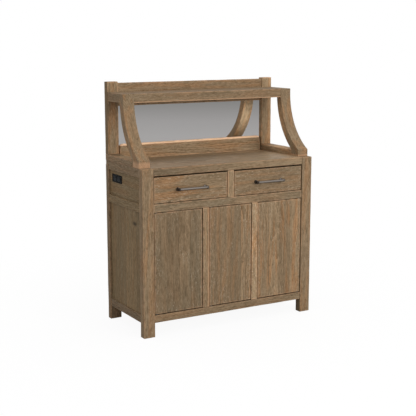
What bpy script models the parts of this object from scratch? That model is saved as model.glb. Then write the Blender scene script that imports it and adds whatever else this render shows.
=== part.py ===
"""Buffet server cabinet: a frame-and-panel base with two drawers and three pivot-hung doors,
and a mirrored hutch on curved brackets. Metres, +Z up, the front faces -Y, the floor is Z = 0."""

import math

import bmesh
import bpy
from mathutils import Matrix, Vector

# Overall plan of the base
WIDTH = 1.0668
DEPTH = 0.456

# Front of the base, from the floor up
FOOT_CLEARANCE = 0.077
BOTTOM_RAIL_HEIGHT = 0.0432
DOOR_OPENING_HEIGHT = 0.551
MID_RAIL_HEIGHT = 0.044
DRAWER_OPENING_HEIGHT = 0.1463
TOP_RAIL_HEIGHT = 0.0407
SIDE_TOP_RAIL_HEIGHT = 0.048

# Frame members
POST_WIDTH = 0.0655
FRONT_POST_DEPTH = 0.0413
REAR_POST_DEPTH = 0.035
RAIL_THICKNESS = 0.024
RAIL_SETBACK = 0.0025
MUNTIN_WIDTH = 0.039
MIDDLE_DOOR_NARROWER = 0.0215
DIVIDER_WIDTH = 0.039
EDGE_EASE = 0.0015

# Joinery
FIT = 0.0003
TENON_LENGTH = 0.015
TENON_SHOULDER = 0.007
PANEL_TONGUE = 0.006
BOARD_LAP = 0.005

# Boards of the base
PANEL_RECESS = 0.008
PANEL_THICKNESS = 0.010
TOP_THICKNESS = 0.022
BOTTOM_THICKNESS = 0.016
BOTTOM_LIP = 0.014
BACK_THICKNESS = 0.006
BACK_LAP = 0.012
INNER_SHELF_HEIGHT = 0.274
INNER_SHELF_THICKNESS = 0.018
INNER_SHELF_SETBACK = 0.030
INNER_SHELF_DADO = 0.004

# Doors and drawer fronts
REVEAL = 0.0035
FACE_SETBACK = 0.004
FACE_THICKNESS = 0.020
PIVOT_DIAMETER = 0.006
PIVOT_LENGTH = 0.012
PIVOT_FROM_EDGE = 0.012
PIVOT_FROM_FACE = 0.006
DOOR_SWING_DEPTH = 0.006

# Push latches behind the tops of the doors
LATCH_RAIL_HEIGHT = 0.065
LATCH_RAIL_THICKNESS = 0.024
LATCH_FROM_EDGE = 0.040
LATCH_BELOW_RAIL = 0.022
PLUNGER_DIAMETER = 0.010
PLUNGER_HEAD_DIAMETER = 0.014
PLUNGER_HEAD = 0.002
PLUNGER_SHANK = 0.018
PLUNGER_TRAVEL = 0.003

# Drawers and the deck that they run on
DRAWER_TOP_GAP = 0.0055
DRAWER_LENGTH = 0.360
DRAWER_SIDE_THICKNESS = 0.012
DRAWER_SIDE_HEIGHT = 0.124
DRAWER_BOTTOM_THICKNESS = 0.006
DRAWER_BOTTOM_RAISE = 0.018
DRAWER_GROOVE = 0.005
DRAWER_BACK_INSET = 0.010
TAIL_COUNT = 3
TAIL_LENGTH = 0.012
TAIL_ROOT = 0.022
TAIL_TIP = 0.028
RUNNING_GAP = 0.0008
DECK_THICKNESS = 0.016
GUIDE_HEIGHT = 0.012
GUIDE_WIDTH = 0.015

# Bar pulls
PULL_LENGTH = 0.184
PULL_DIAMETER = 0.0125
PULL_STANDOFF = 0.023
PULL_ABOVE_RAIL = 0.070
PULL_POST_DIAMETER = 0.009
PULL_POST_FROM_END = 0.009
ROSETTE_DIAMETER = 0.020
ROSETTE_THICKNESS = 0.004
PULL_END_ROUND = 0.0023

# Hutch
GALLERY_HEIGHT = 0.033
HUTCH_HEIGHT = 0.4283
SHELF_TOP_HEIGHT = 0.372
SHELF_RAIL_HEIGHT = 0.048
SHELF_BOARD_THICKNESS = 0.018
SHELF_SETBACK = 0.220
BRACKET_FOOT_SETBACK = 0.0405
BRACKET_FOOT_HEIGHT = 0.0375
BRACKET_THICKNESS = 0.0433
BRACKET_STRAIGHT = 0.020
BACK_RAIL_DROP = 0.0077
BACK_RAIL_TUCK = 0.059
BACK_RAIL_RECESS = 0.010
BACK_RAIL_THICKNESS = 0.020
BACKSPLASH_HEIGHT = 0.085
BACKSPLASH_RECESS = 0.003
BACKSPLASH_NOSE = 0.011
NOSE_STEPS = 6
BACKSPLASH_INSET = 0.008
BACKSPLASH_ROUND = 0.018
MIRROR_RECESS = 0.015
MIRROR_THICKNESS = 0.004
MIRROR_LAP = 0.008
MIRROR_BOARD_THICKNESS = 0.012

# Power outlet in the left upper panel
OUTLET_LENGTH = 0.120
OUTLET_HEIGHT = 0.044
OUTLET_ROUND = 0.005
OUTLET_FROM_REAR_POST = 0.032
OUTLET_ABOVE_RAIL = 0.075
BEZEL_THICKNESS = 0.003
BEZEL_BORDER = 0.006
MODULE_DEPTH = 0.036
MODULE_SINK = 0.001
SOCKET_SPACING = 0.050
SLOT_DEPTH = 0.010
SLOT_WIDTH = 0.0022
SLOT_LENGTH = 0.008
SLOT_SPREAD = 0.0127
EARTH_DIAMETER = 0.0038
EARTH_DROP = 0.009

# Roundness of arcs and turned pieces, and the distance within which points are one
ARC_STEPS = 18
TURN_STEPS = 20
SMOOTH_BELOW = math.radians(35)
WELD = 1e-6

# Planes worked out from the sizes: HALF and the like are distances from the middle of the width
X, Y, Z = range(3)
HALF = WIDTH / 2
POST_IN = HALF - POST_WIDTH
SIDE_OUT = HALF - RAIL_SETBACK
SIDE_IN = SIDE_OUT - RAIL_THICKNESS
PANEL_OUT = SIDE_OUT - PANEL_RECESS
PANEL_IN = PANEL_OUT - PANEL_THICKNESS
PULL_PROUD = PULL_STANDOFF + PULL_DIAMETER / 2 - FACE_SETBACK
FRONT = (PULL_PROUD - DEPTH) / 2
BACK = FRONT + DEPTH
FRONT_POST_BACK = FRONT + FRONT_POST_DEPTH
REAR_POST_FRONT = BACK - REAR_POST_DEPTH
RAIL_FRONT = FRONT + RAIL_SETBACK
RAIL_BACK = RAIL_FRONT + RAIL_THICKNESS
FACE_FRONT = FRONT + FACE_SETBACK
FACE_BACK = FACE_FRONT + FACE_THICKNESS
BOTTOM_RAIL_TOP = FOOT_CLEARANCE + BOTTOM_RAIL_HEIGHT
MID_RAIL_LOW = BOTTOM_RAIL_TOP + DOOR_OPENING_HEIGHT
MID_RAIL_TOP = MID_RAIL_LOW + MID_RAIL_HEIGHT
TOP_RAIL_LOW = MID_RAIL_TOP + DRAWER_OPENING_HEIGHT
BASE_TOP = TOP_RAIL_LOW + TOP_RAIL_HEIGHT
SIDE_TOP_LOW = BASE_TOP - SIDE_TOP_RAIL_HEIGHT
TOP_UNDERSIDE = BASE_TOP - TOP_THICKNESS
SIDE_DOOR_OPENING = (2 * POST_IN - 2 * MUNTIN_WIDTH + MIDDLE_DOOR_NARROWER) / 3
MIDDLE_DOOR_OPENING = SIDE_DOOR_OPENING - MIDDLE_DOOR_NARROWER
SHELF_TOP = BASE_TOP + SHELF_TOP_HEIGHT
SHELF_RAIL_LOW = SHELF_TOP - SHELF_RAIL_HEIGHT
SHELF_FRONT = FRONT + SHELF_SETBACK
GALLERY_TOP = BASE_TOP + GALLERY_HEIGHT
HUTCH_TOP = BASE_TOP + HUTCH_HEIGHT
MIRROR_FRONT = REAR_POST_FRONT + MIRROR_RECESS
MIRROR_BACK = MIRROR_FRONT + MIRROR_THICKNESS

# Colour, roughness and metallic value of each finish
FINISHES = {
    "oak": ((0.225, 0.150, 0.085), 0.62, 0.0),
    "oak_shade": ((0.185, 0.128, 0.078), 0.66, 0.0),
    "inner_wood": ((0.430, 0.310, 0.190), 0.60, 0.0),
    "gunmetal": ((0.030, 0.028, 0.027), 0.38, 0.9),
    "mirror": ((0.820, 0.840, 0.850), 0.04, 1.0),
    "black_plastic": ((0.012, 0.012, 0.013), 0.45, 0.0),
    "grey_plastic": ((0.160, 0.160, 0.165), 0.50, 0.0),
}


def box(x, y, z):
    """Low and high corners of a box from its three spans, each given in either order."""
    spans = (x, y, z)
    return Vector([min(span) for span in spans]), Vector([max(span) for span in spans])


def grown(corners, by):
    """The same box, larger by one clearance on every side."""
    margin = Vector((by, by, by))
    return corners[0] - margin, corners[1] + margin


def mirrored(side, inner, outer):
    """A span across the width, on the left (-1) or the right (1) of the middle."""
    return side * inner, side * outer


def finish(obj, kind):
    colour, roughness, metallic = FINISHES[kind]
    material = bpy.data.materials.new(obj.name)
    material.use_nodes = True
    shader = material.node_tree.nodes["Principled BSDF"]
    shader.inputs["Base Color"].default_value = (*colour, 1.0)
    shader.inputs["Roughness"].default_value = roughness
    shader.inputs["Metallic"].default_value = metallic
    material.diffuse_color = (*colour, 1.0)
    obj.data.materials.append(material)


def place(name, bm, kind=None, parent=None):
    """Makes an object from a mesh built in place, with its origin in its middle."""
    low = Vector([min(v.co[axis] for v in bm.verts) for axis in (X, Y, Z)])
    high = Vector([max(v.co[axis] for v in bm.verts) for axis in (X, Y, Z)])
    middle = (low + high) / 2
    bmesh.ops.translate(bm, verts=bm.verts, vec=-middle)
    bmesh.ops.recalc_face_normals(bm, faces=bm.faces)
    mesh = bpy.data.meshes.new(name)
    bm.to_mesh(mesh)
    bm.free()
    obj = bpy.data.objects.new(name, mesh)
    bpy.context.scene.collection.objects.link(obj)
    obj.location = middle
    if parent:
        obj.parent = parent
        obj.matrix_parent_inverse = Matrix.Translation(-parent.location)
    if kind:
        finish(obj, kind)
    return obj


def joint_axis(name, point):
    """An empty on a joint's axis, which carries the pieces that move with it."""
    empty = bpy.data.objects.new(name, None)
    bpy.context.scene.collection.objects.link(empty)
    empty.location = point
    return empty


def add_box(bm, corners):
    """A box as eight corners and six faces in a mesh."""
    low, high = corners
    made = bmesh.ops.create_cube(bm, size=1.0)["verts"]
    bmesh.ops.scale(bm, verts=made, vec=high - low)
    bmesh.ops.translate(bm, verts=made, vec=(low + high) / 2)
    return made


def ease(bm, edges):
    bmesh.ops.bevel(bm, geom=list(edges), offset=EDGE_EASE, segments=1, affect="EDGES")


def board(name, kind, corners, parent=None, eased=False):
    """A sawn board, with all its edges eased where they show."""
    bm = bmesh.new()
    add_box(bm, corners)
    if eased:
        ease(bm, bm.edges)
    return place(name, bm, kind, parent)


def tenons(corners, axis, ends=(-1, 1)):
    """The boxes of the tenons on the ends of a rail that runs along an axis."""
    found = []
    for end in ends:
        low, high = grown(corners, -TENON_SHOULDER)
        shoulder = corners[0][axis] if end < 0 else corners[1][axis]
        low[axis] = min(shoulder, shoulder + end * TENON_LENGTH)
        high[axis] = max(shoulder, shoulder + end * TENON_LENGTH)
        found.append((low, high))
    return found


def rail(name, kind, corners, axis, ends=(-1, 1)):
    """A squared bar with eased long edges, shouldered down to a tenon on the named ends."""
    low, high = corners
    across = [other for other in (X, Y, Z) if other != axis]

    def ring(bm, station, inset):
        points = []
        for a, b in ((0, 0), (1, 0), (1, 1), (0, 1)):
            point = Vector((0, 0, 0))
            point[axis] = station
            point[across[0]] = (high[across[0]] - inset) if a else (low[across[0]] + inset)
            point[across[1]] = (high[across[1]] - inset) if b else (low[across[1]] + inset)
            points.append(bm.verts.new(point))
        return points

    bm = bmesh.new()
    rings = [ring(bm, low[axis], 0), ring(bm, high[axis], 0)]
    body = list(rings)
    if -1 in ends:
        rings.insert(0, ring(bm, low[axis], TENON_SHOULDER))
        rings.insert(0, ring(bm, low[axis] - TENON_LENGTH, TENON_SHOULDER))
    if 1 in ends:
        rings.append(ring(bm, high[axis], TENON_SHOULDER))
        rings.append(ring(bm, high[axis] + TENON_LENGTH, TENON_SHOULDER))
    for near, far in zip(rings, rings[1:]):
        for i in range(4):
            bm.faces.new((near[i], near[i - 1], far[i - 1], far[i]))
    bm.faces.new(rings[0])
    bm.faces.new(reversed(rings[-1]))
    ease(bm, [bm.edges.get((body[0][i], body[1][i])) for i in range(4)])
    return place(name, bm, kind)


def prism(bm, axis, start, end, outline):
    """An outline drawn across an axis and extruded along it, in a mesh."""
    across = [other for other in (X, Y, Z) if other != axis]
    points = []
    for a, b in outline:
        point = Vector((0, 0, 0))
        point[axis] = start
        point[across[0]] = a
        point[across[1]] = b
        points.append(bm.verts.new(point))
    cap = bm.faces.new(points)
    made = bmesh.ops.extrude_face_region(bm, geom=[cap])["geom"]
    reach = Vector((0, 0, 0))
    reach[axis] = end - start
    bmesh.ops.translate(bm, verts=[v for v in made if isinstance(v, bmesh.types.BMVert)], vec=reach)
    return bm


def turned(bm, axis, origin, profile):
    """A profile of (distance along, radius) pairs spun round an axis, in a mesh."""
    direction = Vector((0, 0, 0))
    direction[axis] = 1.0
    sideways = Vector((0, 0, 1)) if axis != Z else Vector((1, 0, 0))
    line = [bm.verts.new(origin + direction * along + sideways * radius) for along, radius in profile]
    edges = [bm.edges.new(pair) for pair in zip(line, line[1:])]
    turn = {"cent": origin, "axis": direction, "angle": 2 * math.pi, "steps": TURN_STEPS}
    bmesh.ops.spin(bm, geom=line + edges, use_merge=True, **turn)
    bmesh.ops.remove_doubles(bm, verts=bm.verts, dist=WELD)
    return bm


def smooth(obj):
    obj.data.shade_smooth()
    obj.data.set_sharp_from_angle(angle=SMOOTH_BELOW)
    return obj


def arc(centre, radius, start, end):
    """Points along an arc, from one angle to another."""
    angles = [start + (end - start) * i / ARC_STEPS for i in range(ARC_STEPS + 1)]
    return [(centre[0] + radius * math.cos(t), centre[1] + radius * math.sin(t)) for t in angles]


def boolean(host, bm, operation):
    """Cuts a hidden shape out of a piece, or joins it on."""
    tool = place(f"{host.name}.{operation.lower()}{len(host.modifiers)}", bm)
    tool.hide_render = True
    tool.display_type = "WIRE"
    modifier = host.modifiers.new(tool.name, "BOOLEAN")
    modifier.operation = operation
    modifier.solver = "EXACT"
    modifier.use_self = True
    modifier.object = tool


def carve(host, *boxes):
    """Cuts boxes out of a piece, each larger than what seats in it by the fit."""
    bm = bmesh.new()
    for corners in boxes:
        add_box(bm, grown(corners, FIT))
    boolean(host, bm, "DIFFERENCE")


def bore(host, axis, origin, length, diameter):
    """Drills a round hole, larger than its pin by the fit."""
    radius = diameter / 2 + FIT
    profile = [(0, 0), (0, radius), (length, radius), (length, 0)]
    boolean(host, turned(bmesh.new(), axis, origin, profile), "DIFFERENCE")


def post_box(side, front, back, low, top):
    return box(mirrored(side, POST_IN, HALF), (front, back), (low, top))


def base_side(name, side):
    """One end of the base: two posts, three rails tenoned into them, and two panels in grooves."""
    thick = mirrored(side, SIDE_IN, SIDE_OUT)
    between = (FRONT_POST_BACK + FIT, REAR_POST_FRONT - FIT)
    front_post = post_box(side, FRONT, FRONT_POST_BACK, 0, BASE_TOP)
    rear_post = post_box(side, REAR_POST_FRONT, BACK, 0, TOP_UNDERSIDE - FIT)
    top_rail = box(thick, (FRONT_POST_BACK + FIT, BACK), (SIDE_TOP_LOW, BASE_TOP))
    mid_rail = box(thick, between, (MID_RAIL_LOW, MID_RAIL_TOP))
    bottom_rail = box(thick, between, (FOOT_CLEARANCE, BOTTOM_RAIL_TOP))
    panel_x = mirrored(side, PANEL_IN, PANEL_OUT)
    panel_y = (FRONT_POST_BACK - PANEL_TONGUE, REAR_POST_FRONT + PANEL_TONGUE)
    upper = box(panel_x, panel_y, (MID_RAIL_TOP - PANEL_TONGUE, SIDE_TOP_LOW + PANEL_TONGUE))
    lower = box(panel_x, panel_y, (BOTTOM_RAIL_TOP - PANEL_TONGUE, MID_RAIL_LOW + PANEL_TONGUE))
    lap_x = mirrored(side, SIDE_IN, HALF + REVEAL)
    lap = box(lap_x, (REAR_POST_FRONT, BACK + REVEAL), (SIDE_TOP_LOW, BASE_TOP))

    made = rail(f"front_post_{name}", "oak", front_post, Z, ends=())
    side_tenons = tenons(top_rail, Y, (-1,)) + tenons(mid_rail, Y, (-1,)) + tenons(bottom_rail, Y, (-1,))
    front_tenons = [tenon for corners in front_rails() for tenon in tenons(corners, X, (side,))]
    carve(made, upper, lower)
    carve(made, *side_tenons, *front_tenons)

    made = rail(f"rear_post_{name}", "oak_shade", rear_post, Z, ends=())
    carve(made, upper, lower, back_panel_box())
    carve(made, lap, *tenons(mid_rail, Y, (1,)), *tenons(bottom_rail, Y, (1,)))

    made = rail(f"side_top_rail_{name}", "oak_shade", top_rail, Y, ends=(-1,))
    carve(made, upper, top_panel_box())
    made = rail(f"side_mid_rail_{name}", "oak_shade", mid_rail, Y)
    carve(made, upper, lower, deck_box())
    made = rail(f"side_bottom_rail_{name}", "oak_shade", bottom_rail, Y)
    carve(made, lower, bottom_panel_box())

    made = board(f"side_upper_panel_{name}", "oak_shade", upper)
    if side < 0:
        carve(made, outlet_box())
    made = board(f"side_lower_panel_{name}", "oak_shade", lower)
    carve(made, inner_shelf_box())


def front_rails():
    """The boxes of the bottom, mid and top rails of the front."""
    width = (-POST_IN + FIT, POST_IN - FIT)
    depth = (RAIL_FRONT, RAIL_BACK)
    heights = ((FOOT_CLEARANCE, BOTTOM_RAIL_TOP), (MID_RAIL_LOW, MID_RAIL_TOP), (TOP_RAIL_LOW, BASE_TOP))
    return [box(width, depth, height) for height in heights]


def muntin_box(side):
    middle = side * (MIDDLE_DOOR_OPENING + MUNTIN_WIDTH) / 2
    width = (middle - MUNTIN_WIDTH / 2, middle + MUNTIN_WIDTH / 2)
    return box(width, (RAIL_FRONT, RAIL_BACK), (BOTTOM_RAIL_TOP + FIT, MID_RAIL_LOW - FIT))


def divider_box():
    width = (-DIVIDER_WIDTH / 2, DIVIDER_WIDTH / 2)
    return box(width, (RAIL_FRONT, RAIL_BACK), (MID_RAIL_TOP + FIT, TOP_RAIL_LOW - FIT))


def top_panel_box():
    reach = SIDE_IN + BOARD_LAP
    return box((-reach, reach), (RAIL_BACK - BOARD_LAP, BACK), (TOP_UNDERSIDE, BASE_TOP))


def bottom_panel_box():
    reach = SIDE_IN + BOARD_LAP
    top = BOTTOM_RAIL_TOP - BOTTOM_LIP
    depth = (RAIL_BACK - BOARD_LAP, BACK - BACK_THICKNESS - FIT)
    return box((-reach, reach), depth, (top - BOTTOM_THICKNESS, top))


def back_panel_box():
    reach = POST_IN + BACK_LAP
    return box((-reach, reach), (BACK - BACK_THICKNESS, BACK), (FOOT_CLEARANCE, TOP_UNDERSIDE - FIT))


def inner_shelf_box():
    reach = PANEL_IN + INNER_SHELF_DADO
    low = BOTTOM_RAIL_TOP + INNER_SHELF_HEIGHT
    depth = (FRONT_POST_BACK + INNER_SHELF_SETBACK, REAR_POST_FRONT - FIT)
    return box((-reach, reach), depth, (low, low + INNER_SHELF_THICKNESS))


def deck_box():
    reach = SIDE_IN + BOARD_LAP
    depth = (RAIL_BACK - BOARD_LAP, BACK - BACK_THICKNESS - FIT)
    return box((-reach, reach), depth, (MID_RAIL_TOP - DECK_THICKNESS, MID_RAIL_TOP))


def post_boxes(top):
    """The four posts of the base, up to a height."""
    found = []
    for side in (-1, 1):
        found.append(post_box(side, FRONT, FRONT_POST_BACK, 0, top))
        found.append(post_box(side, REAR_POST_FRONT, BACK, 0, top))
    return found


DOORS = ("left", "middle", "right")


def door_span(name):
    """The two edges of a door across the width: its hinge edge, then its free edge."""
    if name == "middle":
        reach = MIDDLE_DOOR_OPENING / 2 - REVEAL
        return -reach, reach
    side = 1 if name == "right" else -1
    return side * (POST_IN - REVEAL), side * (POST_IN - SIDE_DOOR_OPENING + REVEAL)


def door_pivot(name):
    """A point on a door's pivot axis, near its hinge edge."""
    hinge_edge, free_edge = door_span(name)
    inward = math.copysign(PIVOT_FROM_EDGE, free_edge - hinge_edge)
    return Vector((hinge_edge + inward, FACE_FRONT + PIVOT_FROM_FACE, 0))


def base_front():
    """The front frame: three rails, two muntins between the doors, and the drawer divider."""
    bottom, mid, top = front_rails()
    lower = rail("front_bottom_rail", "oak", bottom, X)
    middle = rail("front_mid_rail", "oak", mid, X)
    upper = rail("front_top_rail", "oak", top, X)
    for name, side in (("left", -1), ("right", 1)):
        rail(f"muntin_{name}", "oak", muntin_box(side), Z)
    rail("drawer_divider", "oak", divider_box(), Z)

    feet = [tenons(muntin_box(side), Z, (-1,))[0] for side in (-1, 1)]
    heads = [tenons(muntin_box(side), Z, (1,))[0] for side in (-1, 1)]
    carve(lower, bottom_panel_box(), *feet)
    carve(middle, deck_box(), *heads, *tenons(divider_box(), Z, (-1,)))
    carve(upper, top_panel_box(), *tenons(divider_box(), Z, (1,)))
    depth = PIVOT_LENGTH + REVEAL
    for name in DOORS:
        axis = door_pivot(name)
        bore(lower, Z, axis + Vector((0, 0, BOTTOM_RAIL_TOP - depth)), 2 * depth, PIVOT_DIAMETER)
        bore(middle, Z, axis + Vector((0, 0, MID_RAIL_LOW - depth)), 2 * depth, PIVOT_DIAMETER)


def base_boards():
    """The top, bottom and back boards, and the shelf behind the doors."""
    made = board("top_panel", "oak", top_panel_box())
    carve(made, *post_boxes(BASE_TOP)[::2])
    made = board("bottom_panel", "inner_wood", bottom_panel_box())
    carve(made, *post_boxes(BASE_TOP))
    board("back_panel", "oak_shade", back_panel_box())
    board("inner_shelf", "inner_wood", inner_shelf_box())


def drawer_span(side):
    """The span of a drawer across the width, from beside the divider to beside the post."""
    return mirrored(side, DIVIDER_WIDTH / 2 + REVEAL, POST_IN - REVEAL)


def drawer_deck():
    """The board that both drawers run on, with a guide strip in the middle and one at each end."""
    low, high = deck_box()
    guide_top = MID_RAIL_TOP + GUIDE_HEIGHT
    inner = DIVIDER_WIDTH / 2 + REVEAL - RUNNING_GAP
    outer = POST_IN - REVEAL + RUNNING_GAP
    half = [
        (inner, guide_top),
        (inner, MID_RAIL_TOP),
        (outer, MID_RAIL_TOP),
        (outer, guide_top),
        (outer + GUIDE_WIDTH, guide_top),
        (outer + GUIDE_WIDTH, MID_RAIL_TOP),
        (high.x, MID_RAIL_TOP),
        (high.x, low.z),
    ]
    outline = half + [(-x, z) for x, z in reversed(half)]
    bm = prism(bmesh.new(), Y, low.y, high.y, outline)
    made = place("drawer_deck", bm, "inner_wood")
    ends = []
    for side in (-1, 1):
        past = mirrored(side, outer - RUNNING_GAP, HALF)
        above = (MID_RAIL_TOP + FIT, guide_top + GUIDE_HEIGHT)
        ends.append(box(past, (RAIL_FRONT, FRONT_POST_BACK), above))
        ends.append(box(past, (REAR_POST_FRONT, BACK), above))
    carve(made, *post_boxes(BASE_TOP))
    carve(made, divider_box(), *ends)


def latch_rail():
    """The rail under the deck, behind the tops of the doors, bored for the push latches."""
    front = FACE_BACK + DOOR_SWING_DEPTH
    top = MID_RAIL_TOP - DECK_THICKNESS - FIT
    width = (-POST_IN + FIT, POST_IN - FIT)
    depth = (front, front + LATCH_RAIL_THICKNESS)
    made = board("latch_rail", "inner_wood", box(width, depth, (top - LATCH_RAIL_HEIGHT, top)), eased=True)
    height = MID_RAIL_LOW - LATCH_BELOW_RAIL
    for name in DOORS:
        hinge_edge, free_edge = door_span(name)
        across = free_edge + math.copysign(LATCH_FROM_EDGE, hinge_edge - free_edge)
        tip = Vector((across, FACE_BACK + FIT, height))
        mouth = front - tip.y
        bore(made, Y, tip, mouth + PLUNGER_SHANK + PLUNGER_TRAVEL, PLUNGER_DIAMETER)
        shank = PLUNGER_DIAMETER / 2
        head = PLUNGER_HEAD_DIAMETER / 2
        profile = [(0, 0), (0, head - PLUNGER_HEAD / 2), (PLUNGER_HEAD / 2, head), (PLUNGER_HEAD, head)]
        profile += [(PLUNGER_HEAD, shank), (mouth + PLUNGER_SHANK, shank), (mouth + PLUNGER_SHANK, 0)]
        carrier = joint_axis(f"latch_{name}_press", tip)
        bm = turned(bmesh.new(), Y, tip, profile)
        smooth(place(f"latch_plunger_{name}", bm, "grey_plastic", carrier))


def doors():
    """Three inset slab doors, each hung on a steel pin let into its top and bottom edges."""
    low = BOTTOM_RAIL_TOP + REVEAL
    top = MID_RAIL_LOW - REVEAL
    for name in DOORS:
        axis = door_pivot(name)
        carrier = joint_axis(f"door_{name}_pivot", axis)
        slab = box(door_span(name), (FACE_FRONT, FACE_BACK), (low, top))
        made = board(f"door_{name}", "oak", slab, carrier, eased=True)
        radius = PIVOT_DIAMETER / 2
        reach = PIVOT_LENGTH
        profile = [(low - reach, 0), (low - reach, radius), (top + reach, radius), (top + reach, 0)]
        boolean(made, turned(bmesh.new(), Z, axis, profile), "UNION")


def tail_heights():
    """The middle heights of the dovetails on a drawer side."""
    pitch = DRAWER_SIDE_HEIGHT / TAIL_COUNT
    low = MID_RAIL_TOP + RUNNING_GAP
    return [low + pitch * (i + 0.5) for i in range(TAIL_COUNT)]


def drawer_side(name, span, bottom, back, carrier):
    """A drawer side with dovetails on its front end, grooved for the bottom and the back."""
    low = MID_RAIL_TOP + RUNNING_GAP
    root = FACE_BACK + FIT
    tip = FACE_BACK - TAIL_LENGTH
    end = FACE_BACK + DRAWER_LENGTH
    outline = [(end, low + DRAWER_SIDE_HEIGHT), (end, low), (root, low)]
    for height in tail_heights():
        outline += [(root, height - TAIL_ROOT / 2), (tip, height - TAIL_TIP / 2)]
        outline += [(tip, height + TAIL_TIP / 2), (root, height + TAIL_ROOT / 2)]
    outline.append((root, low + DRAWER_SIDE_HEIGHT))
    bm = prism(bmesh.new(), X, min(span), max(span), outline)
    made = place(name, bm, "inner_wood", carrier)
    carve(made, bottom)
    carve(made, back)


def tail_sockets(front, inner, outer):
    """Cuts the sockets for one side's dovetails into a drawer front, open at its outer end."""
    away = math.copysign(1, outer - inner)
    root = FACE_BACK + REVEAL
    tip = FACE_BACK - TAIL_LENGTH - FIT
    narrow = TAIL_ROOT / 2 + FIT
    wide = TAIL_TIP / 2 + FIT
    bm = bmesh.new()
    for height in tail_heights():
        tail = [(root, height - narrow), (tip, height - wide), (tip, height + wide), (root, height + narrow)]
        prism(bm, X, inner - away * FIT, outer + away * REVEAL, tail)
    boolean(front, bm, "DIFFERENCE")


def drawer(name, side):
    """One drawer: a front dovetailed to two sides, a back in dados, a bottom in grooves, a pull."""
    inner, outer = drawer_span(side)
    low = MID_RAIL_TOP + RUNNING_GAP
    floor = low + DRAWER_BOTTOM_RAISE
    end = FACE_BACK + DRAWER_LENGTH
    groove = side * (DRAWER_SIDE_THICKNESS - DRAWER_GROOVE)
    within = (inner + groove, outer - groove)
    bottom_depth = (FACE_BACK - DRAWER_GROOVE, end - FIT)
    bottom = box(within, bottom_depth, (floor, floor + DRAWER_BOTTOM_THICKNESS))
    back_face = end - DRAWER_BACK_INSET
    back_height = (floor + DRAWER_BOTTOM_THICKNESS + FIT, low + DRAWER_SIDE_HEIGHT - EDGE_EASE)
    back = box(within, (back_face - DRAWER_SIDE_THICKNESS, back_face), back_height)
    height = (MID_RAIL_TOP + REVEAL, TOP_RAIL_LOW - DRAWER_TOP_GAP)
    face = box((inner, outer), (FACE_FRONT, FACE_BACK), height)

    middle = Vector(((inner + outer) / 2, FACE_FRONT, MID_RAIL_TOP + PULL_ABOVE_RAIL))
    carrier = joint_axis(f"drawer_{name}_slide", middle)
    front = board(f"drawer_{name}_front", "oak", face, carrier, eased=True)
    thick = side * DRAWER_SIDE_THICKNESS
    for which, edge, inward in (("inner", inner, thick), ("outer", outer, -thick)):
        span = (edge, edge + inward)
        drawer_side(f"drawer_{name}_{which}_side", span, bottom, back, carrier)
        tail_sockets(front, edge + inward, edge)
    carve(front, bottom)
    board(f"drawer_{name}_back", "inner_wood", back, carrier)
    board(f"drawer_{name}_bottom", "inner_wood", bottom, carrier)
    pull(f"drawer_{name}_pull", middle, carrier)


def pull(name, middle, carrier):
    """A round bar pull: a bar with rounded ends on two turned posts with rosettes."""
    radius = PULL_DIAMETER / 2
    half = PULL_LENGTH / 2
    end = [(half - PULL_END_ROUND, radius), (half, radius - PULL_END_ROUND), (half, 0)]
    profile = [(-along, size) for along, size in reversed(end)] + end
    bar_axis = middle - Vector((0, PULL_STANDOFF, 0))
    made = place(name, turned(bmesh.new(), X, bar_axis, profile), "gunmetal", carrier)
    post = PULL_POST_DIAMETER / 2
    rosette = ROSETTE_DIAMETER / 2
    for end_side in (-1, 1):
        foot = middle + Vector((end_side * (half - PULL_POST_FROM_END), -FIT, 0))
        profile = [
            (0, 0),
            (0, rosette),
            (-ROSETTE_THICKNESS / 2, rosette),
            (-ROSETTE_THICKNESS, (rosette + post) / 2),
            (-2 * ROSETTE_THICKNESS, post),
            (-PULL_STANDOFF + FIT, post),
            (-PULL_STANDOFF + FIT, 0),
        ]
        boolean(made, turned(bmesh.new(), Y, foot, profile), "UNION")
    smooth(made)


def hutch_post_box(side):
    return post_box(side, REAR_POST_FRONT, BACK, GALLERY_TOP + FIT, HUTCH_TOP)


def back_rail_box():
    width = (-POST_IN + FIT, POST_IN - FIT)
    low = SHELF_TOP - SHELF_BOARD_THICKNESS - BACK_RAIL_TUCK
    front = REAR_POST_FRONT + BACK_RAIL_RECESS
    return box(width, (front, front + BACK_RAIL_THICKNESS), (low, HUTCH_TOP - BACK_RAIL_DROP))


def shelf_board_box():
    reach = SIDE_IN + BOARD_LAP
    rail_back = SHELF_FRONT + RAIL_SETBACK + RAIL_THICKNESS
    depth = (rail_back - BOARD_LAP, REAR_POST_FRONT + BACK_RAIL_RECESS + BOARD_LAP)
    return box((-reach, reach), depth, (SHELF_TOP - SHELF_BOARD_THICKNESS, SHELF_TOP))


def mirror_box():
    reach = POST_IN + MIRROR_LAP
    low = BASE_TOP + BACKSPLASH_HEIGHT - MIRROR_LAP
    return box((-reach, reach), (MIRROR_FRONT, MIRROR_BACK), (low, back_rail_box()[0].z + BOARD_LAP))


def mirror_board_box():
    low, high = mirror_box()
    depth = (MIRROR_BACK + FIT, MIRROR_BACK + FIT + MIRROR_BOARD_THICKNESS)
    return box((low.x, high.x), depth, (GALLERY_TOP + FIT, back_rail_box()[0].z - FIT))


def bracket_arc():
    """The front arc of a bracket: it rises from the foot and ends upright under the shelf."""
    run = SHELF_SETBACK - BRACKET_FOOT_SETBACK
    foot = BASE_TOP + BRACKET_FOOT_HEIGHT
    rise = SHELF_TOP - BRACKET_STRAIGHT - foot
    radius = (run * run + rise * rise) / (2 * run)
    return (SHELF_FRONT - radius, foot + rise), radius


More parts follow.
